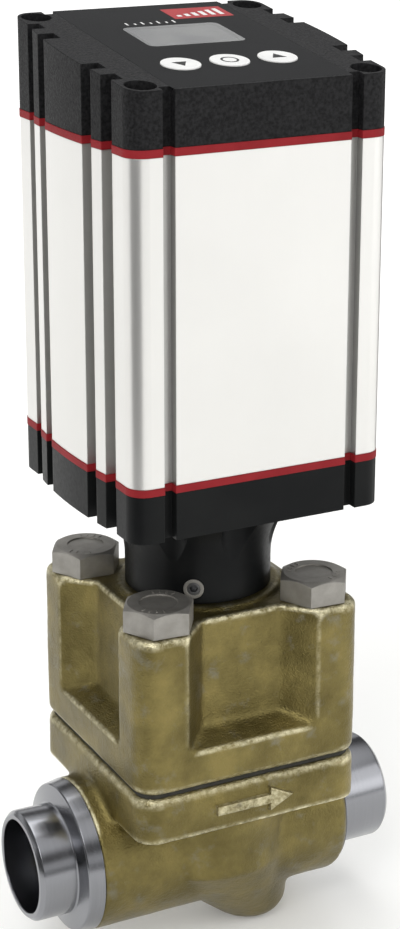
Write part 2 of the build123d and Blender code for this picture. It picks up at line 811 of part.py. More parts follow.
with BuildPart() as actuator_base:
    with BuildSketch(stem_section):
        with BuildLine():
            Polyline(
                (base_neck_radius, flare_start),
                (base_neck_radius, land_top),
                (can_collar_radius + slip, land_top),
                (can_collar_radius + slip, floor_top),
                (flare_radius, floor_top),
                (flare_radius, base_bottom),
            )
            TangentArc((base_neck_radius, flare_start), (flare_radius, base_bottom), tangent=(0, 1))
        make_face()
    revolve(axis=stem_axis)
    with BuildSketch(level(land_top)) as flutes:
        with PolarLocations(flute_core + flute_reach / 2, flute_count):
            SlotOverall(flute_reach, flute_width)
    extrude(flutes.sketch, amount=neck_height, mode=Mode.SUBTRACT)
    extrude(actuator_section(level(base_bottom)), amount=base_height)
    extrude(actuator_section(level(floor_top), cavity=True), amount=base_height, mode=Mode.SUBTRACT)
    with BuildSketch(level(base_bottom)) as posts:
        with GridLocations(motor_hole_spacing, motor_hole_spacing, 2, 2):
            Circle(standoff_radius)
    extrude(posts.sketch, amount=motor_face - base_bottom)
    ring(neck_bore, 0, can_collar_top + slip, floor_top, Mode.SUBTRACT)
    ring(can_collar_radius + slip, 0, land_top, can_collar_top + slip, Mode.SUBTRACT)
    with BuildSketch(level(motor_face)) as post_holes:
        with GridLocations(motor_hole_spacing, motor_hole_spacing, 2, 2):
            Circle(motor_screw_radius)
    extrude(post_holes.sketch, amount=-motor_screw_grip, mode=Mode.SUBTRACT)
    screw_channels(base_top - screw_engagement, base_top, screw_radius)
    for turn in range(set_screw_count):
        angle = 360 * turn / set_screw_count
        with BuildSketch(radial(angle, can_collar_radius, land_top + set_screw_height)) as insert_hole:
            Circle(insert_radius)
        extrude(insert_hole.sketch, amount=base_neck_radius, mode=Mode.SUBTRACT)
    with BuildSketch(bushing_face) as bushing_holes:
        with GridLocations(bushing_spacing, 0, 2, 1):
            Circle(bushing_radius - bushing_rim)
    extrude(bushing_holes.sketch, amount=-rear_wall, mode=Mode.SUBTRACT)
save(actuator_base, "actuator_base")

# Set screws and their threaded inserts, which clamp the neck on the can's collar
with BuildPart() as set_screws:
    for turn in range(set_screw_count):
        tip_plane = radial(360 * turn / set_screw_count, can_collar_radius, land_top + set_screw_height)
        screw_length = base_neck_radius - can_collar_radius
        with BuildSketch(tip_plane) as screw_end:
            Circle(set_screw_radius)
        extrude(screw_end.sketch, amount=screw_length)
        with BuildSketch(tip_plane.offset(screw_length)) as socket:
            RegularPolygon(set_screw_socket, 6, major_radius=False)
        extrude(socket.sketch, amount=-screw_length / 2, mode=Mode.SUBTRACT)
save(set_screws, "set_screws")

with BuildPart() as set_screw_inserts:
    for turn in range(set_screw_count):
        insert_plane = radial(360 * turn / set_screw_count, can_collar_radius, land_top + set_screw_height)
        with BuildSketch(insert_plane.offset(2 * slip)) as insert:
            Circle(insert_radius)
            Circle(set_screw_radius, mode=Mode.SUBTRACT)
        extrude(insert.sketch, amount=base_neck_radius - can_collar_radius + insert_standout - 2 * slip)
save(set_screw_inserts, "set_screw_inserts")


def gasket(bottom, label):
    """Flat red gasket with the shape of the section."""
    with BuildPart() as flat_seal:
        extrude(offset(actuator_section(level(bottom)), seal_proud), amount=seal_thickness)
        extrude(actuator_section(level(bottom), True, True), amount=seal_thickness, mode=Mode.SUBTRACT)
        screw_channels(bottom, bottom + seal_thickness, screw_radius + screw_hole_gap)
    save(flat_seal, label)


gasket(base_top, "lower_gasket")
gasket(extrusion_top, "upper_gasket")

# Motor housing: one length of aluminium extrusion
with BuildPart() as motor_housing:
    extrude(actuator_section(level(extrusion_bottom)), amount=extrusion_length)
    extrude(actuator_section(level(extrusion_bottom), True, True), amount=extrusion_length, mode=Mode.SUBTRACT)
    screw_channels(extrusion_bottom, extrusion_top, screw_radius + screw_hole_gap)
save(motor_housing, "motor_housing")

# Top cap: moulded, with a sloped face for the display and keypad
foil_length = deck_length - 2 * foil_margin
screw_head_seat = cap_bottom + screw_seat
blank_height = cap_front_height + housing_depth * tan(radians(cap_tilt)) + cap_plate
post_x = display_board_x / 2 - post_inset
post_y = display_board_y / 2 - post_inset
board_top_depth = board_depth
board_bottom_depth = board_depth + board_thickness

with BuildPart() as cap_hollow:
    extrude(actuator_section(level(cap_bottom), cavity=True), amount=blank_height)
    split(bisect_by=below_deck(cap_plate), keep=Keep.BOTTOM)

with BuildPart() as top_cap:
    extrude(actuator_section(level(cap_bottom)), amount=blank_height)
    split(bisect_by=below_deck(0), keep=Keep.BOTTOM)
    add(cap_hollow.part, mode=Mode.SUBTRACT)
    with BuildSketch(below_deck(0)) as foil_recess:
        Rectangle(foil_width + 2 * slip, foil_length + 2 * slip)
    extrude(foil_recess.sketch, amount=-foil_thickness, mode=Mode.SUBTRACT)
    with BuildSketch(below_deck(0)) as display_recess:
        with Locations((0, display_centre)):
            RectangleRounded(display_x + 2 * slip, display_y + 2 * slip, display_corner)
    extrude(display_recess.sketch, amount=-display_thickness, mode=Mode.SUBTRACT)
    with BuildSketch(below_deck(0)) as display_opening:
        with Locations((0, display_centre)):
            Rectangle(display_x - 2 * display_ledge, display_y - 2 * display_ledge)
    extrude(display_opening.sketch, amount=-2 * cap_plate, mode=Mode.SUBTRACT)
    with BuildSketch(below_deck(0)) as button_holes:
        with Locations((0, button_row)):
            with GridLocations(button_spacing, 0, 3, 1):
                Circle(button_radius + button_gap)
    extrude(button_holes.sketch, amount=-2 * cap_plate, mode=Mode.SUBTRACT)
    with BuildSketch(below_deck(board_top_depth)) as board_posts:
        with GridLocations(2 * post_x, 2 * post_y, 2, 2):
            Circle(post_radius)
    extrude(board_posts.sketch, amount=board_depth - cap_plate)
    with BuildSketch(below_deck(board_top_depth)) as post_holes:
        with GridLocations(2 * post_x, 2 * post_y, 2, 2):
            Circle(board_screw_radius)
    extrude(post_holes.sketch, amount=board_screw_grip, mode=Mode.SUBTRACT)
    screw_channels(cap_bottom, screw_head_seat, screw_radius + screw_hole_gap)
    screw_channels(screw_head_seat, cap_bottom + blank_height, screw_counterbore_radius)
save(top_cap, "top_cap")

# Cap screws: four long screws through cap, housing and gaskets into the base
screw_bottom = base_top - screw_engagement

with BuildPart() as cap_screws:
    with BuildSketch(level(screw_bottom)) as screw_shanks:
        with GridLocations(2 * screw_x, 2 * screw_y, 2, 2):
            Circle(screw_radius)
    extrude(screw_shanks.sketch, amount=screw_head_seat - screw_bottom)
    with BuildSketch(level(screw_head_seat)) as screw_heads:
        with GridLocations(2 * screw_x, 2 * screw_y, 2, 2):
            Circle(screw_head_radius)
    extrude(screw_heads.sketch, amount=screw_head_height)
    with BuildSketch(level(screw_head_seat + screw_head_height)) as sockets:
        with GridLocations(2 * screw_x, 2 * screw_y, 2, 2):
            RegularPolygon(screw_socket_radius, 6, major_radius=False)
    extrude(sockets.sketch, amount=-screw_head_height / 2, mode=Mode.SUBTRACT)
save(cap_screws, "cap_screws")

# Keypad foil, with openings for the display window and the buttons
with BuildPart() as keypad_foil:
    with BuildSketch(below_deck(foil_thickness)) as foil:
        Rectangle(foil_width, foil_length)
        with Locations((0, display_centre)):
            RectangleRounded(display_x + 2 * slip, display_y + 2 * slip, display_corner, mode=Mode.SUBTRACT)
        with Locations((0, button_row)):
            with GridLocations(button_spacing, 0, 3, 1):
                Circle(button_radius + button_gap, mode=Mode.SUBTRACT)
    extrude(foil.sketch, amount=foil_thickness)
save(keypad_foil, "keypad_foil")

with BuildPart() as display_window:
    with BuildSketch(below_deck(display_thickness)) as window_pane:
        with Locations((0, display_centre)):
            RectangleRounded(display_x, display_y, display_corner)
    extrude(window_pane.sketch, amount=display_thickness)
save(display_window, "display_window")

# Display board under the cap, with its liquid crystal module, switches and screws
with BuildPart() as display_board:
    with BuildSketch(below_deck(board_bottom_depth)) as board_outline:
        Rectangle(display_board_x, display_board_y)
        with GridLocations(2 * post_x, 2 * post_y, 2, 2):
            Circle(board_screw_radius + slip, mode=Mode.SUBTRACT)
    extrude(board_outline.sketch, amount=board_thickness)
save(display_board, "display_board")

with BuildPart() as lcd_module:
    with BuildSketch(below_deck(board_top_depth)) as lcd_outline:
        with Locations((0, display_centre)):
            Rectangle(lcd_x, lcd_y)
    extrude(lcd_outline.sketch, amount=board_depth - cap_plate - lcd_gap)
save(lcd_module, "lcd_module")

with BuildPart() as board_screws:
    with BuildSketch(below_deck(board_bottom_depth)) as board_screw_heads:
        with GridLocations(2 * post_x, 2 * post_y, 2, 2):
            Circle(board_screw_head)
    extrude(board_screw_heads.sketch, amount=-board_screw_head_height)
    with BuildSketch(below_deck(board_bottom_depth)) as board_screw_shanks:
        with GridLocations(2 * post_x, 2 * post_y, 2, 2):
            Circle(board_screw_radius)
    extrude(board_screw_shanks.sketch, amount=board_thickness + board_screw_grip - slip)
save(board_screws, "board_screws")

with BuildPart() as tact_switches:
    with BuildSketch(below_deck(board_top_depth)) as switch_bodies:
        with Locations((0, button_row)):
            with GridLocations(button_spacing, 0, 3, 1):
                Rectangle(switch_size, switch_size)
    extrude(switch_bodies.sketch, amount=switch_height)
    with BuildSketch(below_deck(board_top_depth - switch_height)) as switch_wells:
        with Locations((0, button_row)):
            with GridLocations(button_spacing, 0, 3, 1):
                Circle(button_stem_radius + button_gap)
    extrude(switch_wells.sketch, amount=-switch_well, mode=Mode.SUBTRACT)
save(tact_switches, "tact_switches")

# Buttons: each rests on its switch and goes down with a click
stem_end = board_depth - switch_height + switch_well - button_travel - slip
for place, label in ((-1, "button_down"), (0, "button_enter"), (1, "button_up")):
    with BuildPart() as button:
        with BuildSketch(below_deck(-button_proud)) as button_face:
            with Locations((place * button_spacing, button_row)):
                Circle(button_radius)
        extrude(button_face.sketch, amount=-button_proud - cap_plate - button_flange_thickness)
        with BuildSketch(below_deck(cap_plate)) as button_rim:
            with Locations((place * button_spacing, button_row)):
                Circle(button_radius + button_flange)
        extrude(button_rim.sketch, amount=-button_flange_thickness)
        with BuildSketch(below_deck(cap_plate)) as button_stem:
            with Locations((place * button_spacing, button_row)):
                Circle(button_stem_radius)
        extrude(button_stem.sketch, amount=cap_plate - stem_end)
        fillet(button.edges().group_by(Axis(deck_centre, deck_normal))[-1], button_proud / 2)
    save(button, label)

# Stepper motor, standing on the posts of the base
def at_corners(spacing):
    """Four places in a square about the stem axis."""
    return GridLocations(spacing, spacing, 2, 2)


def bell(bottom, bearing_height, solid_top, label):
    """End bell of the motor: plate, rim and bearing seat."""
    shaft_hole = motor_shaft_radius + motor_shaft_gap
    with BuildPart() as end_bell:
        with BuildSketch(level(bottom)) as outline:
            Rectangle(motor_width, motor_width)
            chamfer(outline.vertices(), motor_corner_cut)
        extrude(outline.sketch, amount=bell_height)
        hollow_bottom = bottom if solid_top else bottom + bell_face
        ring(motor_width / 2 - bell_wall, 0, hollow_bottom, hollow_bottom + bell_height - bell_face, Mode.SUBTRACT)
        ring(motor_bearing_outer + bell_wall, 0, bottom, bottom + bell_height)
        ring(shaft_hole, 0, bottom, bottom + bell_height, Mode.SUBTRACT)
        seat_low = bearing_height - motor_bearing_width / 2
        if solid_top:
            ring(motor_bearing_outer, 0, bottom, seat_low + motor_bearing_width, Mode.SUBTRACT)
        else:
            ring(motor_bearing_outer, 0, seat_low, bottom + bell_height, Mode.SUBTRACT)
            with BuildSketch(level(bottom)) as flange:
                RectangleRounded(motor_width, motor_width, motor_corner)
                Circle(motor_width / 2 - bell_wall, mode=Mode.SUBTRACT)
            extrude(flange.sketch, amount=bell_face)
            with BuildSketch(level(bottom)) as corner_holes:
                with at_corners(motor_hole_spacing):
                    Circle(motor_screw_radius + slip)
            extrude(corner_holes.sketch, amount=bell_face, mode=Mode.SUBTRACT)
        tie_depth = bell_height if solid_top else bell_height - bell_face
        tie_start = bottom if solid_top else bottom + bell_face
        with BuildSketch(level(tie_start)) as tie_holes:
            with at_corners(2 * tie_screw_centre):
                Circle(tie_screw_radius)
        extrude(tie_holes.sketch, amount=tie_depth, mode=Mode.SUBTRACT)
    save(end_bell, label)


front_bearing_height = stator_bottom - rotor_clearance - motor_bearing_width / 2
rear_bearing_height = stator_top + rotor_clearance + motor_bearing_width / 2
bell(motor_face, front_bearing_height, False, "motor_front_bell")
bell(stator_top, rear_bearing_height, True, "motor_rear_bell")

def coil_slots(bottom, spare=0.0):
    """Eight rounded blocks in a circle, the shape of the coils and of their slots."""
    with BuildSketch(level(bottom)) as slots:
        with PolarLocations(coil_centre, coil_count):
            RectangleRounded(coil_depth + 2 * spare, coil_width + 2 * spare, coil_corner)
    return slots.sketch


# Stator core with its slots
with BuildPart() as motor_stator:
    with BuildSketch(level(stator_bottom)) as core:
        Rectangle(motor_width, motor_width)
        chamfer(core.vertices(), motor_corner_cut)
        Circle(rotor_radius + rotor_air_gap, mode=Mode.SUBTRACT)
        with at_corners(2 * tie_screw_centre):
            Circle(tie_screw_radius, mode=Mode.SUBTRACT)
    extrude(core.sketch, amount=stator_height)
    extrude(coil_slots(stator_bottom, slip), amount=stator_height, mode=Mode.SUBTRACT)
save(motor_stator, "motor_stator")

with BuildPart() as motor_coils:
    extrude(coil_slots(stator_bottom - coil_overhang), amount=stator_height + 2 * coil_overhang)
save(motor_coils, "motor_coils")

# Rotor and its stepped shaft
shaft_shoulder = motor_shaft_radius + motor_bearing_ring / 2
front_shoulder = front_bearing_height + motor_bearing_width / 2
rear_shoulder = rear_bearing_height - motor_bearing_width / 2

with BuildPart() as motor_rotor:
    ring(rotor_radius, shaft_shoulder, stator_bottom + rotor_end_play, stator_top - rotor_end_play)
save(motor_rotor, "motor_rotor")

with BuildPart() as motor_shaft:
    ring(motor_shaft_radius, 0, cup_top, motor_top + motor_shaft_tail)
    ring(shaft_shoulder, 0, front_shoulder, rear_shoulder)
save(motor_shaft, "motor_shaft")

bearing_rings(
    motor_bearing_outer, motor_shaft_radius, motor_bearing_ring, motor_bearing_width,
    (front_bearing_height, rear_bearing_height), motor_ball_count, "motor_bearing",
)

# Screws: four hold the motor on its posts, four tie its bells together
with BuildPart() as motor_screws:
    with BuildSketch(level(motor_face + bell_face)) as motor_screw_heads:
        with at_corners(motor_hole_spacing):
            Circle(motor_screw_head)
    extrude(motor_screw_heads.sketch, amount=motor_screw_head_height)
    with BuildSketch(level(motor_face - motor_screw_grip)) as motor_screw_shanks:
        with at_corners(motor_hole_spacing):
            Circle(motor_screw_radius)
    extrude(motor_screw_shanks.sketch, amount=motor_screw_grip + bell_face)
save(motor_screws, "motor_screws")

with BuildPart() as motor_tie_screws:
    with BuildSketch(level(motor_face + bell_face)) as tie_shanks:
        with at_corners(2 * tie_screw_centre):
            Circle(tie_screw_radius)
    extrude(tie_shanks.sketch, amount=motor_top - motor_face - bell_face)
    with BuildSketch(level(motor_top)) as tie_heads:
        with at_corners(2 * tie_screw_centre):
            Circle(2 * tie_screw_radius)
    extrude(tie_heads.sketch, amount=tie_screw_radius)
save(motor_tie_screws, "motor_tie_screws")

# Magnet cup: hangs from the motor shaft over the can and carries the outer magnets
with BuildPart() as magnet_cup:
    ring(cup_radius, outer_magnet_outer, rotor_bottom, cup_top)
    ring(cup_radius, motor_shaft_radius, cup_top, cup_top + cup_lid)
    ring(hub_radius, motor_shaft_radius, cup_top, hub_top)
save(magnet_cup, "magnet_cup")

with BuildPart() as outer_magnets:
    magnets(outer_magnet_outer, outer_magnet_inner, rotor_bottom, rotor_top)
save(outer_magnets, "outer_magnets")

# Control board: stands on the base and runs in slots of the housing's corner pads
board_bottom = base_top
board_face = control_board_y - board_thickness / 2

with BuildPart() as control_board:
    with BuildSketch(level(board_bottom, 0, control_board_y)) as board_edge:
        Rectangle(control_board_x, board_thickness)
    extrude(board_edge.sketch, amount=control_board_height)
save(control_board, "control_board")

component_plane = Plane(
    origin=(stem_x, board_face, board_bottom + component_height), x_dir=(1, 0, 0), z_dir=(0, -1, 0)
)
with BuildPart() as capacitors:
    with BuildSketch(component_plane) as cans:
        with GridLocations(capacitor_spacing, 0, 2, 1):
            Circle(capacitor_radius)
    extrude(cans.sketch, amount=capacitor_length)
    fillet(capacitors.edges().group_by(Axis.Y)[0], capacitor_edge)
save(capacitors, "capacitors")

with BuildPart() as board_connector:
    with BuildSketch(component_plane) as shell:
        Rectangle(connector_x, connector_z)
    extrude(shell.sketch, amount=connector_y)
    with BuildSketch(component_plane.offset(connector_y)) as plug_well:
        Rectangle(connector_x - 2 * board_thickness, connector_z - 2 * board_thickness)
    extrude(plug_well.sketch, amount=-connector_y / 2, mode=Mode.SUBTRACT)
save(board_connector, "board_connector")

# Cable bushings in the rear wall of the base
with BuildPart() as cable_bushings:
    with BuildSketch(bushing_face) as bushing_rims:
        with GridLocations(bushing_spacing, 0, 2, 1):
            Circle(bushing_radius)
    extrude(bushing_rims.sketch, amount=bushing_length)
    fillet(cable_bushings.edges().group_by(Axis.Y)[-1], bushing_length / 2)
    with BuildSketch(bushing_face) as bushing_shanks:
        with GridLocations(bushing_spacing, 0, 2, 1):
            Circle(bushing_radius - bushing_rim)
    extrude(bushing_shanks.sketch, amount=-rear_wall)
    with BuildSketch(bushing_face.offset(bushing_length)) as cable_holes:
        with GridLocations(bushing_spacing, 0, 2, 1):
            Circle(bushing_hole)
    extrude(cable_holes.sketch, amount=-bushing_length - rear_wall, mode=Mode.SUBTRACT)
save(cable_bushings, "cable_bushings")
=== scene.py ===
import math

import bmesh
import bpy
import numpy as np
from mathutils import Matrix, Vector, noise


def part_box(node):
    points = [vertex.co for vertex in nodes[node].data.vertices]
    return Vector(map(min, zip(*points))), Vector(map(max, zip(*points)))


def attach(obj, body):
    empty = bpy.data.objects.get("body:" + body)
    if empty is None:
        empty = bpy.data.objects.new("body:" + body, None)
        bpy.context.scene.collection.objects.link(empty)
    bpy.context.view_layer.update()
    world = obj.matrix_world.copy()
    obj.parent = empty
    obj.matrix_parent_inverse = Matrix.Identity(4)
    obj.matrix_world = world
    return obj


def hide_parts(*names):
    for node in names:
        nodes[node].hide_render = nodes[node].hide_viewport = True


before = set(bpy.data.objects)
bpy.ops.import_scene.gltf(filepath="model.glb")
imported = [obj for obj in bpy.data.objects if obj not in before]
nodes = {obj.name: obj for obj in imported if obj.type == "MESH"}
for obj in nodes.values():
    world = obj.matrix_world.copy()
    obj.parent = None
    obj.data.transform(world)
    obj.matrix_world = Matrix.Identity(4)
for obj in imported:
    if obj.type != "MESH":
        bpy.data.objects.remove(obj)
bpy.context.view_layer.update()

stemX = 0.06  # the stem stands half way along the pipe
mm = 0.001
print("frame loaded")


def toLinear(code):
    channels = [int(code[i:i + 2], 16) / 255 for i in (1, 3, 5)]
    return tuple(c / 12.92 if c <= 0.04045 else ((c + 0.055) / 1.055) ** 2.4 for c in channels) + (1.0,)


# a node with its settings, the values or links of its inputs and, on a ramp, the stops of its colours
def addNode(tree, kind, inputs=None, stops=(), **settings):
    node = tree.nodes.new(kind)
    for name, value in settings.items():
        setattr(node, name, value)
    for name, value in (inputs or {}).items():
        if isinstance(value, bpy.types.NodeSocket):
            tree.links.new(value, node.inputs[name])
        else:
            node.inputs[name].default_value = value
    if stops:
        elements = node.color_ramp.elements
        while len(elements) < len(stops):
            elements.new(0.5)
        for element, (spot, colour) in zip(elements, stops):
            element.position = spot
            element.color = toLinear(colour) if isinstance(colour, str) else (colour, colour, colour, 1)
    return node


def startMaterial(name):
    material = bpy.data.materials.new(name)
    material.use_nodes = True
    tree = material.node_tree
    tree.nodes.clear()
    shader = addNode(tree, "ShaderNodeBsdfPrincipled")
    addNode(tree, "ShaderNodeOutputMaterial", {"Surface": shader.outputs["BSDF"]})
    place = addNode(tree, "ShaderNodeTexCoord").outputs["Object"]
    inMm = addNode(tree, "ShaderNodeVectorMath", {0: place, 1: (1000, 1000, 1000)}, operation="MULTIPLY")
    return material, tree, shader, inMm.outputs[0]


# a finish is a colour that drifts in soft patches, a fine grain that lifts the surface, and rounded edges
def makeFinish(name, spec):
    material, tree, shader, place = startMaterial(name)
    stretched = addNode(tree, "ShaderNodeVectorMath", {0: place, 1: spec.get("stretch", (1, 1, 1))},
                        operation="MULTIPLY").outputs[0]
    patches = addNode(tree, "ShaderNodeTexNoise", {"Vector": place, "Scale": 1 / spec["patchMm"],
                                                   "Detail": 4})
    colours = spec["colours"]
    stops = [(0.35 + 0.3 * i / (len(colours) - 1), c) for i, c in enumerate(colours)]
    ramp = addNode(tree, "ShaderNodeValToRGB", {"Fac": patches.outputs["Fac"]}, stops)
    grain = addNode(tree, "ShaderNodeTexNoise", {"Vector": stretched, "Scale": 1 / spec["grainMm"],
                                                 "Detail": 3, "Roughness": 0.6})
    low, high = spec["roughness"]
    rough = addNode(tree, "ShaderNodeMapRange", {"Value": grain.outputs["Fac"], "From Min": 0.3,
                                                 "From Max": 0.7, "To Min": low, "To Max": high})
    edges = addNode(tree, "ShaderNodeBevel", {"Radius": spec.get("edgeMm", 0.25) * mm}, samples=6)
    bump = addNode(tree, "ShaderNodeBump", {"Height": grain.outputs["Fac"], "Distance": spec["bumpMm"] * mm,
                                            "Strength": 1.0, "Normal": edges.outputs[0]})
    colour = ramp.outputs["Color"]
    if "hollowMm" in spec:  # painted shade darkens the colour in grooves, by how open they are
        openness = addNode(tree, "ShaderNodeAmbientOcclusion", {"Distance": spec["hollowMm"] * mm}, samples=8)
        dim = addNode(tree, "ShaderNodeMapRange", {"Value": openness.outputs["AO"], "From Min": 0.25,
                                                   "From Max": 0.95, "To Min": 1 - spec["paintedHollowShade"],
                                                   "To Max": 1.0})
        dimmed = addNode(tree, "ShaderNodeVectorMath", {0: colour, 1: dim.outputs[0]}, operation="MULTIPLY")
        colour = dimmed.outputs[0]
    tree.links.new(colour, shader.inputs["Base Color"])
    tree.links.new(rough.outputs[0], shader.inputs["Roughness"])
    tree.links.new(bump.outputs[0], shader.inputs["Normal"])
    shader.inputs["Metallic"].default_value = spec.get("metallic", 0)
    if "ior" in spec:
        shader.inputs["IOR"].default_value = spec["ior"]
    if "specular" in spec:
        shader.inputs["Specular IOR Level"].default_value = spec["specular"]
    if "coat" in spec:
        shader.inputs["Coat Weight"].default_value = spec["coat"]
        shader.inputs["Coat Roughness"].default_value = spec["coatRoughness"]
    return material


# every scale is the real one in mm, apart from those whose comment says that they are drawn coarser
finishes = {
    # clear-anodised extruded aluminium: pale and even, with hairlines along the pull of the die, which are
    # really 0.1 mm apart and are drawn coarser, at 0.5 mm, to show at all; its grooves get painted shade
    "anodisedExtrusion": dict(colours=("#dddcd9", "#e0dfdc"), patchMm=40, grainMm=0.5, bumpMm=0.006,
                              stretch=(1, 1, 0.02), roughness=(0.33, 0.37), metallic=0.9, edgeMm=0.3,
                              hollowMm=5, paintedHollowShade=0.6),
    # machined aluminium bells and cans: a greyer, finer face
    "machinedAluminium": dict(colours=("#b9b9b8", "#c9c9c6"), patchMm=12, grainMm=0.4, bumpMm=0.01,
                              roughness=(0.3, 0.42), metallic=1),
    # mineral-filled nylon, moulded on a spark-eroded tool: dark, matt, with a fine pebble
    "grainedNylon": dict(colours=("#131314", "#262627"), patchMm=0.9, grainMm=0.7, bumpMm=0.12,
                         roughness=(0.42, 0.6), edgeMm=0.35, ior=1.53, specular=0.1),
    # printed polyester overlay round the keys: smoother and a little blue
    "polyesterOverlay": dict(colours=("#0c0d0f", "#101113"), patchMm=20, grainMm=0.3, bumpMm=0.006,
                             roughness=(0.36, 0.44), edgeMm=0.2, ior=1.57, specular=0.06),
    # powder-coated aluminium of the foot: black with a slight orange peel
    "powderCoat": dict(colours=("#121314", "#181919"), patchMm=16, grainMm=1.2, bumpMm=0.02,
                       roughness=(0.3, 0.42), edgeMm=0.5, ior=1.5, specular=0.1),
    # moulded silicone gaskets: brick red and matt
    "redSilicone": dict(colours=("#851a20", "#922228"), patchMm=10, grainMm=0.6, bumpMm=0.03,
                        roughness=(0.5, 0.65), edgeMm=0.4, ior=1.41, specular=0.25),
    # set screws, hardened and blackened in hot oxide, then handled: mid grey with a soft gloss
    "oxidisedSteel": dict(colours=("#6a6a6b", "#757576"), patchMm=3, grainMm=0.3, bumpMm=0.01,
                          roughness=(0.3, 0.42), metallic=0.9, edgeMm=0.15),
    # moulded rubber of bushings and o-rings: soft black without gloss
    "blackRubber": dict(colours=("#161616", "#202020"), patchMm=6, grainMm=0.4, bumpMm=0.03,
                        roughness=(0.6, 0.75), ior=1.52),
    # pressed fibre sheet, cut to shape: dark, dry and rough
    "fibreSheet": dict(colours=("#26251f", "#33322c"), patchMm=3, grainMm=0.35, bumpMm=0.08,
                       roughness=(0.75, 0.9), ior=1.5),
    # hardened bearing steel, ground and lapped: nearly a mirror
    "lappedSteel": dict(colours=("#b3b3b5", "#c4c4c6"), patchMm=8, grainMm=0.3, bumpMm=0.003,
                        roughness=(0.1, 0.18), metallic=1, edgeMm=0.15),
    # stainless fasteners, cold-headed and tumbled: warm grey, satin, with broad soft highlights
    "tumbledStainless": dict(colours=("#8f8c86", "#9f9c96"), patchMm=5, grainMm=0.35, bumpMm=0.02,
                             roughness=(0.42, 0.55), metallic=0.75, edgeMm=0.3),
    # turned stainless inside the valve: clean and bright, with rings round its axis
    "turnedStainless": dict(colours=("#9b9a99", "#b0afad"), patchMm=8, grainMm=0.25, bumpMm=0.012,
                            stretch=(0.3, 0.3, 3), roughness=(0.22, 0.34), metallic=1),
    # nickel-plated sintered magnets: smooth, warm and shiny
    "nickelPlate": dict(colours=("#8f8c86", "#a29f98"), patchMm=6, grainMm=0.4, bumpMm=0.01,
                        roughness=(0.18, 0.3), metallic=1),
    # stamped laminations in a stack: dull blue grey with fine level lines
    "laminations": dict(colours=("#55565a", "#6d6e72"), patchMm=4, grainMm=0.5, bumpMm=0.05,
                        stretch=(0.05, 0.05, 1.4), roughness=(0.4, 0.55), metallic=1),
    # enamelled copper winding: red brown under a clear gloss
    "windingCopper": dict(colours=("#8f4a22", "#b0642f"), patchMm=3, grainMm=0.4, bumpMm=0.1,
                          stretch=(1, 1, 0.1), roughness=(0.25, 0.4), metallic=0.9, coat=0.5,
                          coatRoughness=0.12),
    # drawn and machined bronze: yellow brown and satin
    "machinedBronze": dict(colours=("#9a7240", "#b18a52"), patchMm=6, grainMm=0.3, bumpMm=0.012,
                           roughness=(0.28, 0.4), metallic=1),
    # glass-epoxy circuit board under green solder mask: even and glossy
    "solderMask": dict(colours=("#14502c", "#1b6036"), patchMm=5, grainMm=0.6, bumpMm=0.01,
                       roughness=(0.25, 0.36), coat=0.4, coatRoughness=0.12, ior=1.55),
    # moulded polycarbonate of keys and connector: clean white, half matt
    "whitePolycarbonate": dict(colours=("#e7e7e5", "#efefed"), patchMm=6, grainMm=0.3, bumpMm=0.01,
                               roughness=(0.38, 0.46), edgeMm=0.3, ior=1.58),
    # turned fluoropolymer seals: waxy off-white
    "sealPolymer": dict(colours=("#d2cfc4", "#dcd9cf"), patchMm=5, grainMm=0.3, bumpMm=0.01,
                        roughness=(0.35, 0.5), ior=1.38),
    # moulded nylon switch bodies: plain black, half matt
    "blackNylon": dict(colours=("#1c1c1d", "#242425"), patchMm=4, grainMm=0.3, bumpMm=0.03,
                       roughness=(0.45, 0.6), ior=1.53),
    # screen-printed ink, flat and even: red of the field, black of the key signs, white of bars and ticks
    "redInk": dict(colours=("#a32025", "#ae262b"), patchMm=5, grainMm=0.2, bumpMm=0.004,
                   roughness=(0.4, 0.5), ior=1.5),
    "blackInk": dict(colours=("#141414", "#1b1b1b"), patchMm=5, grainMm=0.2, bumpMm=0.004,
                     roughness=(0.45, 0.55), ior=1.5),
    "whiteInk": dict(colours=("#e2e2e0", "#e9e9e7"), patchMm=5, grainMm=0.2, bumpMm=0.004,
                     roughness=(0.45, 0.55), ior=1.5),
}
finish = {name: makeFinish(name, spec) for name, spec in finishes.items()}

# cast steel, shot-blasted, zinc plated and yellow-passivated: olive gold with grey clouds, and bright at
# its outer edges, partly where the plating is worn and partly as a painted highlight
casting = {
    "gold": ("#645a34", "#756a40", "#8a7d4c"), "cloud": "#86867f", "bright": "#f4ecc8",
    "patchMm": 14, "cloudMm": 9, "grainMm": 0.6, "grainLiftMm": 0.3, "rippleMm": 5, "rippleLiftMm": 0.14,
    "wearSheenMm": 2.4, "roughness": (0.28, 0.36), "metallic": 0.9,
}
# the pipe ends are turned from the bare steel: bright and dark with the room, with rings that are really
# 0.15 mm apart and are drawn coarser
turning = {"steel": ("#8c8d91", "#909195"), "ringMm": 0.6, "roundMm": 100, "ringLiftMm": 0.0005,
           "roughness": (0.2, 0.23), "edgeMm": 0.2}


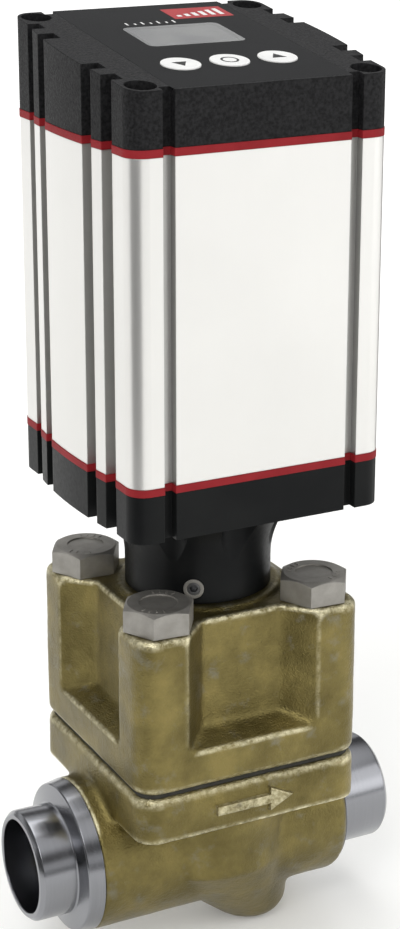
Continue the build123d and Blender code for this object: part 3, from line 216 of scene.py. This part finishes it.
def chromatedCasting():
    material, tree, shader, place = startMaterial("chromatedCasting")
    patches = addNode(tree, "ShaderNodeTexNoise", {"Vector": place, "Scale": 1 / casting["patchMm"],
                                                   "Detail": 6, "Roughness": 0.62})
    low, middle, high = casting["gold"]
    gold = addNode(tree, "ShaderNodeValToRGB", {"Fac": patches.outputs["Fac"]},
                   [(0.34, low), (0.5, middle), (0.68, high)])
    clouds = addNode(tree, "ShaderNodeTexNoise", {"Vector": place, "Scale": 1 / casting["cloudMm"],
                                                  "Detail": 5, "Roughness": 0.7})
    cloudAmount = addNode(tree, "ShaderNodeMapRange", {"Value": clouds.outputs["Fac"], "From Min": 0.56,
                                                       "From Max": 0.72, "To Max": 0.5})
    clouded = addNode(tree, "ShaderNodeMix", {"Factor": cloudAmount.outputs[0], 6: gold.outputs["Color"],
                                              7: toLinear(casting["cloud"])}, data_type="RGBA")
    grain = addNode(tree, "ShaderNodeTexNoise", {"Vector": place, "Scale": 1 / casting["grainMm"],
                                                 "Detail": 3, "Roughness": 0.55})
    ripple = addNode(tree, "ShaderNodeTexNoise", {"Vector": place, "Scale": 1 / casting["rippleMm"],
                                                  "Detail": 2})
    # the outer edges are painted bright, unevenly: partly worn plating, partly a painted highlight; the mask
    # is stored on the mesh where it curves outward
    rim = addNode(tree, "ShaderNodeAttribute", attribute_name="wearSheen")
    wearSheen = addNode(tree, "ShaderNodeTexNoise", {"Vector": place, "Scale": 1 / casting["wearSheenMm"],
                                                "Detail": 5, "Roughness": 0.7})
    uneven = addNode(tree, "ShaderNodeMapRange", {"Value": wearSheen.outputs["Fac"], "From Min": 0.36,
                                                  "From Max": 0.62, "To Min": 0.1, "To Max": 1.0})
    wornSheen = addNode(tree, "ShaderNodeMath", {0: rim.outputs["Fac"], 1: uneven.outputs[0]},
                   operation="MULTIPLY")
    plated = addNode(tree, "ShaderNodeMix", {"Factor": wornSheen.outputs[0], 6: clouded.outputs[2],
                                             7: toLinear(casting["bright"])}, data_type="RGBA")
    smooth, dull = casting["roughness"]
    rough = addNode(tree, "ShaderNodeMapRange", {"Value": patches.outputs["Fac"], "From Min": 0.3,
                                                 "From Max": 0.7, "To Min": smooth, "To Max": dull})
    grainHeight = addNode(tree, "ShaderNodeMath", {0: grain.outputs["Fac"], 1: casting["grainLiftMm"]},
                          operation="MULTIPLY")
    height = addNode(tree, "ShaderNodeMath", {0: ripple.outputs["Fac"], 1: casting["rippleLiftMm"],
                                              2: grainHeight.outputs[0]}, operation="MULTIPLY_ADD")
    bump = addNode(tree, "ShaderNodeBump", {"Height": height.outputs[0], "Distance": mm, "Strength": 1.0})
    tree.links.new(plated.outputs[2], shader.inputs["Base Color"])
    tree.links.new(rough.outputs[0], shader.inputs["Roughness"])
    tree.links.new(bump.outputs[0], shader.inputs["Normal"])
    shader.inputs["Metallic"].default_value = casting["metallic"]
    return material


def turnedSteel():
    material, tree, shader, place = startMaterial("turnedSteel")
    around = 1 / turning["roundMm"]
    ringPlace = addNode(tree, "ShaderNodeVectorMath", {0: place, 1: (1 / turning["ringMm"], around, around)},
                        operation="MULTIPLY")
    rings = addNode(tree, "ShaderNodeTexNoise", {"Vector": ringPlace.outputs[0], "Scale": 1.0, "Detail": 2})
    low, high = turning["steel"]
    steel = addNode(tree, "ShaderNodeValToRGB", {"Fac": rings.outputs["Fac"]}, [(0.35, low), (0.65, high)])
    smooth, dull = turning["roughness"]
    rough = addNode(tree, "ShaderNodeMapRange", {"Value": rings.outputs["Fac"], "From Min": 0.3,
                                                 "From Max": 0.7, "To Min": smooth, "To Max": dull})
    edges = addNode(tree, "ShaderNodeBevel", {"Radius": turning["edgeMm"] * mm}, samples=6)
    bump = addNode(tree, "ShaderNodeBump", {"Height": rings.outputs["Fac"], "Strength": 1.0,
                                            "Distance": turning["ringLiftMm"] * mm,
                                            "Normal": edges.outputs[0]})
    tree.links.new(steel.outputs["Color"], shader.inputs["Base Color"])
    tree.links.new(rough.outputs[0], shader.inputs["Roughness"])
    tree.links.new(bump.outputs[0], shader.inputs["Normal"])
    shader.inputs["Metallic"].default_value = 1.0
    return material


finish["turnedSteel"] = turnedSteel()
finish["chromatedCasting"] = chromatedCasting()

# smoked acrylic over the display: clear enough to see the grey cell under it
window = {"colours": ("#8f9092", "#a3a4a3"), "driftMm": 14, "roughness": 0.12, "ior": 1.49, "clear": 0.5,
          "specular": 0.25}


def smokedAcrylic():
    material, tree, shader, place = startMaterial("smokedAcrylic")
    drift = addNode(tree, "ShaderNodeTexNoise", {"Vector": place, "Scale": 1 / window["driftMm"],
                                                 "Detail": 2})
    low, high = window["colours"]
    ramp = addNode(tree, "ShaderNodeValToRGB", {"Fac": drift.outputs["Fac"]}, [(0.3, low), (0.7, high)])
    tree.links.new(ramp.outputs["Color"], shader.inputs["Base Color"])
    shader.inputs["Roughness"].default_value = window["roughness"]
    shader.inputs["IOR"].default_value = window["ior"]
    shader.inputs["Transmission Weight"].default_value = window["clear"]
    shader.inputs["Specular IOR Level"].default_value = window["specular"]
    return material


finish["smokedAcrylic"] = smokedAcrylic()

# unlit liquid crystal cell: a grey with painted shade that darkens it slantwise towards its far right corner
cell = {"dark": "#474a47", "light": "#b5b7b3", "fromY": -8.0, "toY": 24.0, "lean": 0.45, "roughness": 0.3}


def liquidCrystal():
    material, tree, shader, place = startMaterial("liquidCrystal")
    along = addNode(tree, "ShaderNodeSeparateXYZ", {0: place})
    aside = addNode(tree, "ShaderNodeMath", {0: along.outputs["X"], 1: -stemX / mm}, operation="ADD")
    leaning = addNode(tree, "ShaderNodeMath", {0: aside.outputs[0], 1: cell["lean"], 2: along.outputs["Y"]},
                      operation="MULTIPLY_ADD")
    paintedShadeSlope = addNode(tree, "ShaderNodeMapRange", {"Value": leaning.outputs[0], "From Min": cell["fromY"],
                                                 "From Max": cell["toY"]})
    ramp = addNode(tree, "ShaderNodeValToRGB", {"Fac": paintedShadeSlope.outputs[0]},
                   [(0.0, cell["light"]), (1.0, cell["dark"])])
    tree.links.new(ramp.outputs["Color"], shader.inputs["Base Color"])
    shader.inputs["Roughness"].default_value = cell["roughness"]
    return material


finish["liquidCrystal"] = liquidCrystal()
print("finishes made")

nodeFinish = {
    "chromatedCasting": "valve_body bonnet",
    "tumbledStainless": "bonnet_bolts set_screw_inserts cap_screws board_screws motor_screws "
                        "motor_tie_screws",
    "oxidisedSteel": "set_screws",
    "powderCoat": "actuator_base",
    "redSilicone": "lower_gasket upper_gasket",
    "fibreSheet": "body_gasket",
    "anodisedExtrusion": "motor_housing",
    "grainedNylon": "top_cap",
    "polyesterOverlay": "keypad_foil",
    "smokedAcrylic": "display_window",
    "liquidCrystal": "lcd_module",
    "whitePolycarbonate": "button_down button_enter button_up board_connector",
    "blackRubber": "cable_bushings cage_o_rings can_o_ring",
    "turnedStainless": "seat_ring flow_cage valve_cone guide_pin spindle magnet_can magnet_carrier "
                       "magnet_cup motor_shaft",
    "lappedSteel": "spindle_bearing_outer_ring spindle_bearing_inner_ring spindle_bearing_balls "
                   "motor_bearing_outer_ring motor_bearing_inner_ring motor_bearing_balls "
                   "bearing_circlip spindle_circlip",
    "machinedAluminium": "motor_front_bell motor_rear_bell capacitors",
    "laminations": "motor_stator motor_rotor",
    "windingCopper": "motor_coils",
    "solderMask": "display_board control_board",
    "blackNylon": "tact_switches",
    "nickelPlate": "outer_magnets inner_magnets",
    "sealPolymer": "cone_face_seal piston_ring",
    "machinedBronze": "spindle_nut ball_cage",
}
for finishName, nodeNames in nodeFinish.items():
    for nodeName in nodeNames.split():
        for materialSlot in nodes[nodeName].material_slots:
            materialSlot.material = finish[finishName]
print("finishes on the solids")


# the two castings, softened as a sand mould leaves them: every round of smoothing fills the hollow corners,
# and only the first few round the outer ones too. The skin is uneven at two scales, and where it bulges
# outward above the pipe it is marked for bright edges, partly worn plating and partly a painted highlight.
castSkin = dict(cornerSteps=3, stepSize=0.5, normalsEvery=8, waveLiftMm=0.12, grainMm=1.8, grainLiftMm=0.06,
                grainShift=(7, 3, 1), wearSheenSteps=14, wearSheenBulgeMm=(0.15, 0.36), wearSheenFromZ=14, wearSheenFadeMm=3)
castings = {
    "castBody": dict(castSkin, node="valve_body", cut=(17.7, 101.5), voxelMm=0.75, hollowSteps=16, waveMm=9),
    "castBonnet": dict(castSkin, node="bonnet", cut=None, voxelMm=0.72, hollowSteps=14, waveMm=10),
}


def keepModifiers(piece):
    graph = bpy.context.evaluated_depsgraph_get()
    mesh = bpy.data.meshes.new_from_object(piece.evaluated_get(graph), depsgraph=graph)
    piece.modifiers.clear()
    piece.data = mesh


def soften(mesh, spec):
    count = len(mesh.vertices)
    spots = np.zeros(count * 3)
    mesh.vertices.foreach_get("co", spots)
    spots = spots.reshape(-1, 3)
    ends = np.zeros(len(mesh.edges) * 2, dtype=np.int64)
    mesh.edges.foreach_get("vertices", ends)
    first, second = ends.reshape(-1, 2).T
    neighbours = np.maximum(np.bincount(first, minlength=count) + np.bincount(second, minlength=count), 1)
    normals = np.zeros(count * 3)
    mesh.vertex_normals.foreach_get("vector", normals)
    normals = normals.reshape(-1, 3)

    def neighbourMean(values):
        sums = [np.bincount(first, values[second, k], count) + np.bincount(second, values[first, k], count)
                for k in range(3)]
        return np.stack(sums, 1) / neighbours[:, None]

    def renewNormals():
        mesh.vertices.foreach_set("co", spots.ravel())
        mesh.update()
        mesh.vertex_normals.foreach_get("vector", normals.ravel())

    for step in range(spec["hollowSteps"]):
        move = neighbourMean(spots) - spots
        outward = (move * normals).sum(1)
        chosen = np.ones(count, bool) if step < spec["cornerSteps"] else outward > 0
        spots[chosen] += spec["stepSize"] * move[chosen]
        if (step + 1) % spec["normalsEvery"] == 0:
            renewNormals()
    renewNormals()
    blurred = spots.copy()
    for step in range(spec["wearSheenSteps"]):
        blurred += spec["stepSize"] * (neighbourMean(blurred) - blurred)
    bulge = ((spots - blurred) * normals).sum(1) / mm
    low, high = spec["wearSheenBulgeMm"]
    wearSheen = mesh.attributes.new("wearSheen", "FLOAT", "POINT")
    # the bright edges fade out below the pipe: on top they are partly wear and partly a painted highlight
    abovePipe = np.clip((spots[:, 2] / mm - spec["wearSheenFromZ"]) / spec["wearSheenFadeMm"], 0, 1)
    wearSheen.data.foreach_set("value", abovePipe * np.clip((bulge - low) / (high - low), 0, 1))
    for i, (spot, normal) in enumerate(zip(spots, normals)):
        inMm = Vector(spot) * 1000
        lift = spec["waveLiftMm"] * noise.noise(inMm / spec["waveMm"])
        lift += spec["grainLiftMm"] * noise.noise(inMm / spec["grainMm"] + Vector(spec["grainShift"]))
        spots[i] += normal * lift * mm
    lowest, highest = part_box(spec["node"])  # the uneven skin never stands proud of the CAD's own box
    mesh.vertices.foreach_set("co", np.clip(spots, lowest, highest).ravel())
    mesh.update()


def castPiece(name, spec):
    piece = bpy.data.objects.new(name, nodes[spec["node"]].data.copy())
    bpy.context.scene.collection.objects.link(piece)
    piece.modifiers.new("weld", "WELD").merge_threshold = 0.001 * mm
    if spec["cut"]:
        low, high = (x * mm for x in spec["cut"])
        block = bpy.data.meshes.new("cutter")
        work = bmesh.new()
        bmesh.ops.create_cube(work, size=1)
        work.transform(Matrix.Translation(((low + high) / 2, 0, 0))
                       @ Matrix.Diagonal((high - low, 0.2, 0.2, 1)))
        work.to_mesh(block)
        work.free()
        cutter = bpy.data.objects.new("cutter", block)
        bpy.context.scene.collection.objects.link(cutter)
        shorten = piece.modifiers.new("shorten", "BOOLEAN")
        shorten.operation = "INTERSECT"
        shorten.solver = "EXACT"
        shorten.object = cutter
    skin = piece.modifiers.new("skin", "REMESH")
    skin.mode = "VOXEL"
    skin.voxel_size = spec["voxelMm"] * mm
    keepModifiers(piece)
    if spec["cut"]:
        bpy.data.objects.remove(cutter)
    soften(piece.data, spec)
    for polygon in piece.data.polygons:
        polygon.use_smooth = True
    piece.data.materials.clear()
    piece.data.materials.append(finish["chromatedCasting"])
    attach(piece, "housing")
    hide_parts(spec["node"])
    print(name, len(piece.data.polygons), "faces")


for castName, castSpec in castings.items():
    castPiece(castName, castSpec)

# (distance along the pipe, radius) round each turned end, closed through the bore
weldEnds = {
    "inletEnd": [(17.72, 23.3), (13.2, 22.5), (12.85, 22.2), (11.75, 17.3), (11.4, 16.85), (1.7, 16.85),
                 (1.2, 16.7), (0.15, 15.75), (0.0, 15.5), (0.0, 14.45), (0.2, 14.25), (15.6, 14.25),
                 (16.0, 13.9), (16.0, 8.3), (16.6, 7.6), (17.72, 7.6)],
    "outletEnd": [(101.48, 22.0), (101.5, 17.5), (101.9, 16.95), (102.6, 16.85), (118.3, 16.85),
                  (118.8, 16.7), (119.85, 15.75), (120.0, 15.5), (120.0, 14.45), (119.8, 14.25),
                  (104.4, 14.25), (104.0, 13.9), (104.0, 8.3), (103.4, 7.6), (101.48, 7.6)],
}
turnedSides = 128
sharpFrom = math.radians(25)  # edges that bend more than this stay crisp


def latheRound(work, profile, count=turnedSides):
    rows = [[work.verts.new((x, r * math.sin(2 * math.pi * i / count), r * math.cos(2 * math.pi * i / count)))
             for i in range(count)] for x, r in profile]
    for j, row in enumerate(rows):
        following = rows[(j + 1) % len(rows)]
        for i in range(count):
            k = (i + 1) % count
            work.faces.new((row[i], row[k], following[k], following[i]))


# the sloped face with its three keys; signs are placed on it in mm from its centre
deck = {"tilt": 8.1, "centreZ": 244.29, "buttonRow": -19.6, "buttonSpacing": 14.9, "buttonProud": 0.35}
deckMatrix = (Matrix.Translation((stemX, 0, deck["centreZ"] * mm))
              @ Matrix.Rotation(math.radians(deck["tilt"]), 4, "X"))


def meshPiece(name, build, material, body, matrix=Matrix.Identity(4)):
    mesh = bpy.data.meshes.new(name)
    work = bmesh.new()
    build(work)
    bmesh.ops.recalc_face_normals(work, faces=work.faces)
    work.transform(Matrix.Scale(mm, 4))
    work.transform(matrix)
    work.to_mesh(mesh)
    work.free()
    piece = bpy.data.objects.new(name, mesh)
    bpy.context.scene.collection.objects.link(piece)
    mesh.materials.append(material)
    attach(piece, body)
    return piece


# a flat outline lifted from low to high, with an optional hole outline of as many points
def slab(work, outline, low, high, hole=None):
    rings = []
    for loop in [outline] + ([hole] if hole else []):
        rings.append([[work.verts.new((x, y, z)) for x, y in loop] for z in (low, high)])
    count = len(outline)
    for ringSet in rings:
        lower, upper = ringSet
        for i in range(count):
            j = (i + 1) % count
            work.faces.new((lower[i], lower[j], upper[j], upper[i]))
    for level in (0, 1):
        if hole:
            outer, inner = rings[0][level], rings[1][level]
            for i in range(count):
                j = (i + 1) % count
                work.faces.new((outer[i], outer[j], inner[j], inner[i]))
        else:
            work.faces.new(rings[0][level])


def circlePoints(radius, count, centre):
    return [(centre[0] + radius * math.cos(2 * math.pi * i / count),
             centre[1] + radius * math.sin(2 * math.pi * i / count)) for i in range(count)]


for endName, endProfile in weldEnds.items():
    end = meshPiece(endName, lambda work: latheRound(work, endProfile), finish["turnedSteel"], "housing")
    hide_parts("valve_body")
    for polygon in end.data.polygons:
        polygon.use_smooth = True
    end.data.set_sharp_from_angle(angle=sharpFrom)
print("castings and pipe ends made")

# ink stands this far out of its face, and its underside lies a little under it
ink = {"proud": 0.02, "sunk": 0.005}
signs = {"triangleReach": 2.6, "ringOuter": 2.6, "ringInner": 1.95, "ringSides": 40}
lowInk = deck["buttonProud"] - ink["sunk"]
highInk = deck["buttonProud"] + ink["proud"]


def triangle(work, centreX, pointing):
    reach = signs["triangleReach"]
    centreY = deck["buttonRow"]
    outline = [(centreX + reach * math.cos(a), centreY + pointing * reach * math.sin(a))
               for a in (math.radians(90), math.radians(210), math.radians(330))]
    slab(work, outline, lowInk, highInk)


def ringSign(work):
    centre = (0, deck["buttonRow"])
    slab(work, circlePoints(signs["ringOuter"], signs["ringSides"], centre), lowInk, highInk,
         circlePoints(signs["ringInner"], signs["ringSides"], centre))


spacing = deck["buttonSpacing"]
meshPiece("signDown", lambda work: triangle(work, -spacing, -1), finish["blackInk"], "button_down",
          deckMatrix)
meshPiece("signEnter", ringSign, finish["blackInk"], "button_enter", deckMatrix)
meshPiece("signUp", lambda work: triangle(work, spacing, 1), finish["blackInk"], "button_up",
          deckMatrix)

# a red field with a rising row of bars, and a tick scale over the display
redField = {"x": (5.0, 24.3), "y": (24.2, 35.0), "bars": 6, "barWidth": 1.5, "firstBar": 1.6, "lastBar": 6.4,
            "barFoot": 26.4, "barSunk": 0.002}
tickScale = {"from": -12.0, "step": 2.5, "count": 7, "y": 20.8, "long": 2.4, "short": 1.4, "width": 0.6}


def rectangle(work, left, low, right, high, bottom, top):
    slab(work, [(left, low), (right, low), (right, high), (left, high)], bottom, top)


def fieldPlate(work):
    (left, right), (low, high) = redField["x"], redField["y"]
    rectangle(work, left, low, right, high, -ink["sunk"], ink["proud"])


def risingBars(work):
    (left, right), count = redField["x"], redField["bars"]
    pitch = (right - left) / (count + 1)
    for i in range(count):
        middle = left + pitch * (i + 1)
        tall = redField["firstBar"] + (redField["lastBar"] - redField["firstBar"]) * i / (count - 1)
        half = redField["barWidth"] / 2
        rectangle(work, middle - half, redField["barFoot"], middle + half, redField["barFoot"] + tall,
                  ink["proud"] - redField["barSunk"], ink["proud"] * 2)


def tickMarks(work):
    for i in range(tickScale["count"]):
        spot = tickScale["from"] + i * tickScale["step"]
        tall = tickScale["short"] if i % 2 else tickScale["long"]
        rectangle(work, spot, tickScale["y"], spot + tickScale["width"], tickScale["y"] + tall,
                  -ink["sunk"], ink["proud"])


meshPiece("redField", fieldPlate, finish["redInk"], "housing", deckMatrix)
meshPiece("risingBars", risingBars, finish["whiteInk"], "housing", deckMatrix)
meshPiece("tickScale", tickMarks, finish["whiteInk"], "housing", deckMatrix)
print("signs printed")

# raised dashes round the bolt heads, each head turned its own way
boltMarks = {"spacing": 51.2, "top": 89.5, "radius": 7.3, "length": 1.5, "width": 0.45,
             "height": 0.16, "sunk": 0.3, "columnTurn": 37, "rowTurn": 90,
             "angles": (-24, -8, 8, 24, 156, 172, 188, 204)}


def headDashes(work):
    spacing, top = boltMarks["spacing"], boltMarks["top"]
    half, wide = boltMarks["length"] / 2, boltMarks["width"] / 2
    for column in (-1, 1):
        for row in (-1, 1):
            for angle in boltMarks["angles"]:
                turn = Matrix.Rotation(math.radians(angle + boltMarks["columnTurn"] * column
                                                    + boltMarks["rowTurn"] * row), 2)
                corners = [turn @ Vector((boltMarks["radius"] + x, y))
                           for x, y in ((-half, -wide), (half, -wide), (half, wide), (-half, wide))]
                middle = Vector((stemX / mm + column * spacing / 2, row * spacing / 2))
                outline = [tuple(middle + corner) for corner in corners]
                slab(work, outline, top - boltMarks["sunk"], top + boltMarks["height"])


meshPiece("headDashes", headDashes, finish["tumbledStainless"], "housing")

# flow arrow cast on the front of the body, its foot wider than its top, its face painted bright,
# partly as worn plating and partly as a painted highlight
arrow = {"length": 25.0, "shaft": 2.8, "head": 7.4, "y": -36.65, "z": 25.1, "root": 0.5, "foot": 0.3,
         "relief": 1.6, "bevel": 0.45, "bevelHeight": 0.15, "wideGrow": 1.4, "tipGrow": 1.6, "rubbedSheen": 0.6}


def flowArrow(work):
    half, head = arrow["length"] / 2, arrow["head"]
    foot, relief = arrow["foot"], arrow["relief"]
    rows = []
    for grow, lift in ((foot, -arrow["root"]), (foot, 0.0), (0.0, relief - arrow["bevelHeight"]),
                       (-arrow["bevel"], relief)):
        thin, wide = arrow["shaft"] / 2 + grow, head / 2 + grow * arrow["wideGrow"]
        tip = half + grow * arrow["tipGrow"]
        outline = [(-half - grow, -thin), (half - head, -thin), (half - head - grow, -wide), (tip, 0),
                   (half - head - grow, wide), (half - head, thin), (-half - grow, thin)]
        rows.append([work.verts.new((stemX / mm + x, arrow["y"] - lift, arrow["z"] + z)) for x, z in outline])
    for lower, upper in zip(rows, rows[1:]):
        for i in range(len(lower)):
            j = (i + 1) % len(lower)
            work.faces.new((lower[i], lower[j], upper[j], upper[i]))
    work.faces.new(rows[0])
    work.faces.new(rows[-1])


arrowPiece = meshPiece("flowArrow", flowArrow, finish["chromatedCasting"], "housing")
arrowWearSheen = arrowPiece.data.attributes.new("wearSheen", "FLOAT", "POINT")
arrowWearSheen.data.foreach_set("value", [arrow["rubbedSheen"]] * len(arrowPiece.data.vertices))
print("raised marks made")


# the camera stands where the photographer did, with a long lens
view = {"focalPixels": 2100, "imageHeight": 929, "centreRow": 394.5, "spot": (-207.2, -527.1, 324.4),
        "azimuth": -26.95, "elevation": 17.25, "sensorMm": 24}
camera = bpy.data.objects.new("camera", bpy.data.cameras.new("camera"))
bpy.context.scene.collection.objects.link(camera)
camera.data.sensor_fit = "VERTICAL"
camera.data.sensor_height = view["sensorMm"]
camera.data.lens = view["sensorMm"] * view["focalPixels"] / view["imageHeight"]
camera.data.shift_y = (view["centreRow"] - view["imageHeight"] / 2) / view["imageHeight"]
camera.data.clip_start = 0.01
camera.location = Vector(view["spot"]) * mm
camera.rotation_euler = (math.radians(90 - view["elevation"]), 0, math.radians(view["azimuth"]))
bpy.context.scene.camera = camera

floor = {"height": -33.5, "half": 3000, "paint": ("#f1f1ef", "#f6f6f4"), "driftMm": 400,
         "glow": (0.13, 0.75), "fade": (250, 1800)}


def floorMaterial():
    material, tree, shader, place = startMaterial("paintedFloor")
    drift = addNode(tree, "ShaderNodeTexNoise", {"Vector": place, "Scale": 1 / floor["driftMm"], "Detail": 2})
    low, high = floor["paint"]
    ramp = addNode(tree, "ShaderNodeValToRGB", {"Fac": drift.outputs["Fac"]}, [(0.3, low), (0.7, high)])
    tree.links.new(ramp.outputs["Color"], shader.inputs["Base Color"])
    shader.inputs["Roughness"].default_value = 0.9
    shader.inputs["Specular IOR Level"].default_value = 0.0
    path = addNode(tree, "ShaderNodeLightPath")
    seen = addNode(tree, "ShaderNodeMath", {0: path.outputs["Is Camera Ray"],
                                            1: path.outputs["Is Glossy Ray"]}, operation="ADD")
    seen = addNode(tree, "ShaderNodeMath", {0: seen.outputs[0], 1: path.outputs["Is Transmission Ray"]},
                   operation="ADD", use_clamp=True)
    # far from the object, where the lamps fade, the floor glows up to white
    away = addNode(tree, "ShaderNodeVectorMath", {0: place}, operation="LENGTH")
    (near, far), (faint, bright) = floor["fade"], floor["glow"]
    fade = addNode(tree, "ShaderNodeMapRange", {"Value": away.outputs["Value"], "From Min": near,
                                                "From Max": far, "To Min": faint, "To Max": bright})
    glow = addNode(tree, "ShaderNodeMath", {0: seen.outputs[0], 1: fade.outputs[0]}, operation="MULTIPLY")
    shader.inputs["Emission Color"].default_value = (1, 1, 1, 1)
    tree.links.new(glow.outputs[0], shader.inputs["Emission Strength"])
    return material


floorMesh = bpy.data.meshes.new("floor")
reach = floor["half"] * mm
floorZ = floor["height"] * mm
floorMesh.from_pydata([(-reach, -reach, floorZ), (reach, -reach, floorZ), (reach, reach, floorZ),
                       (-reach, reach, floorZ)], [], [(0, 1, 2, 3)])
floorMesh.materials.append(floorMaterial())
floorObject = bpy.data.objects.new("floor", floorMesh)
bpy.context.scene.collection.objects.link(floorObject)

# black cards stand beside the set, seen only in reflections, so that round metal edges turn dark
cards = {
    "leftCard": dict(spot=(-0.26, -0.2), width=0.42, height=0.24),
    "rightCard": dict(spot=(0.36, 0.16), width=0.2, height=0.24),
}
cardFinish = makeFinish("blackCard", dict(colours=("#4a4a4a", "#565656"), patchMm=60, grainMm=2, bumpMm=0.05,
                                          roughness=(0.9, 1.0), specular=0.0))
for cardName, spec in cards.items():
    x, y = spec["spot"]
    aside = Vector((y, stemX - x, 0)).normalized() * spec["width"] / 2
    corners = [Vector((x, y, floorZ)) + aside * sign for sign in (1, -1)]
    corners += [corner + Vector((0, 0, spec["height"])) for corner in reversed(corners)]
    cardMesh = bpy.data.meshes.new(cardName)
    cardMesh.from_pydata(corners, [], [(0, 1, 2, 3)])
    cardMesh.materials.append(cardFinish)
    card = bpy.data.objects.new(cardName, cardMesh)
    bpy.context.scene.collection.objects.link(card)
    card.visible_camera = card.visible_diffuse = card.visible_transmission = card.visible_shadow = False

lamps = {
    "keyLamp": dict(spot=(-0.9, -0.9, 1.1), size=0.9, power=11.0),
    "fillLamp": dict(spot=(1.1, -0.9, 0.6), size=1.0, power=5.0),
    "topLamp": dict(spot=(0.1, 0.3, 1.4), size=1.0, power=6.0),
    "backLamp": dict(spot=(0.3, 1.3, 0.7), size=1.0, power=4.0, mirrored=False),
}
aim = Vector((stemX, 0, 0.11))
for lampName, spec in lamps.items():
    lampData = bpy.data.lights.new(lampName, "AREA")
    lampData.size = spec["size"]
    lampData.energy = spec["power"]
    lamp = bpy.data.objects.new(lampName, lampData)
    bpy.context.scene.collection.objects.link(lamp)
    lamp.location = spec["spot"]
    lamp.visible_glossy = spec.get("mirrored", True)  # the lamp behind would lay a sheen over the black deck
    lamp.rotation_euler = (aim - lamp.location).to_track_quat("-Z", "Y").to_euler()

# the room round the set: even light, and what metal mirrors from below to straight up
room = {
    "light": 0.52,
    "strip": [(0.0, 0.95), (0.46, 0.95), (0.5, 0.3), (0.56, 0.24), (0.6, 0.8), (0.68, 0.8), (0.72, 0.12),
              (0.8, 0.12), (0.88, 1.0)],
}
world = bpy.data.worlds.new("studio")
bpy.context.scene.world = world
world.use_nodes = True
worldTree = world.node_tree
worldTree.nodes.clear()
path = addNode(worldTree, "ShaderNodeLightPath")
direct = addNode(worldTree, "ShaderNodeMath", {0: path.outputs["Is Camera Ray"],
                                               1: path.outputs["Is Transmission Ray"]}, operation="ADD")
seen = addNode(worldTree, "ShaderNodeMath", {0: direct.outputs[0], 1: path.outputs["Is Glossy Ray"]},
               operation="ADD", use_clamp=True)
direction = addNode(worldTree, "ShaderNodeTexCoord").outputs["Generated"]
height = addNode(worldTree, "ShaderNodeSeparateXYZ", {0: direction})
upright = addNode(worldTree, "ShaderNodeMath", {0: height.outputs["Z"], 1: 0.5, 2: 0.5},
                  operation="MULTIPLY_ADD")
# metal mirrors the white backdrop, with the darker strip of the room above the horizon
strip = addNode(worldTree, "ShaderNodeValToRGB", {"Fac": upright.outputs[0]}, room["strip"])
backdropColour = addNode(worldTree, "ShaderNodeMix", {"Factor": direct.outputs[0], 6: strip.outputs["Color"],
                                                      7: (1, 1, 1, 1)}, data_type="RGBA")
backdrop = addNode(worldTree, "ShaderNodeBackground", {"Color": backdropColour.outputs[2], "Strength": 1.0})
daylight = addNode(worldTree, "ShaderNodeBackground", {"Color": (1, 1, 1, 1), "Strength": room["light"]})
mixed = addNode(worldTree, "ShaderNodeMixShader", {"Fac": seen.outputs[0], 1: daylight.outputs[0],
                                                   2: backdrop.outputs[0]})
addNode(worldTree, "ShaderNodeOutputWorld", {"Surface": mixed.outputs[0]})

bpy.context.scene.view_settings.view_transform = "Standard"
print("camera and light set")
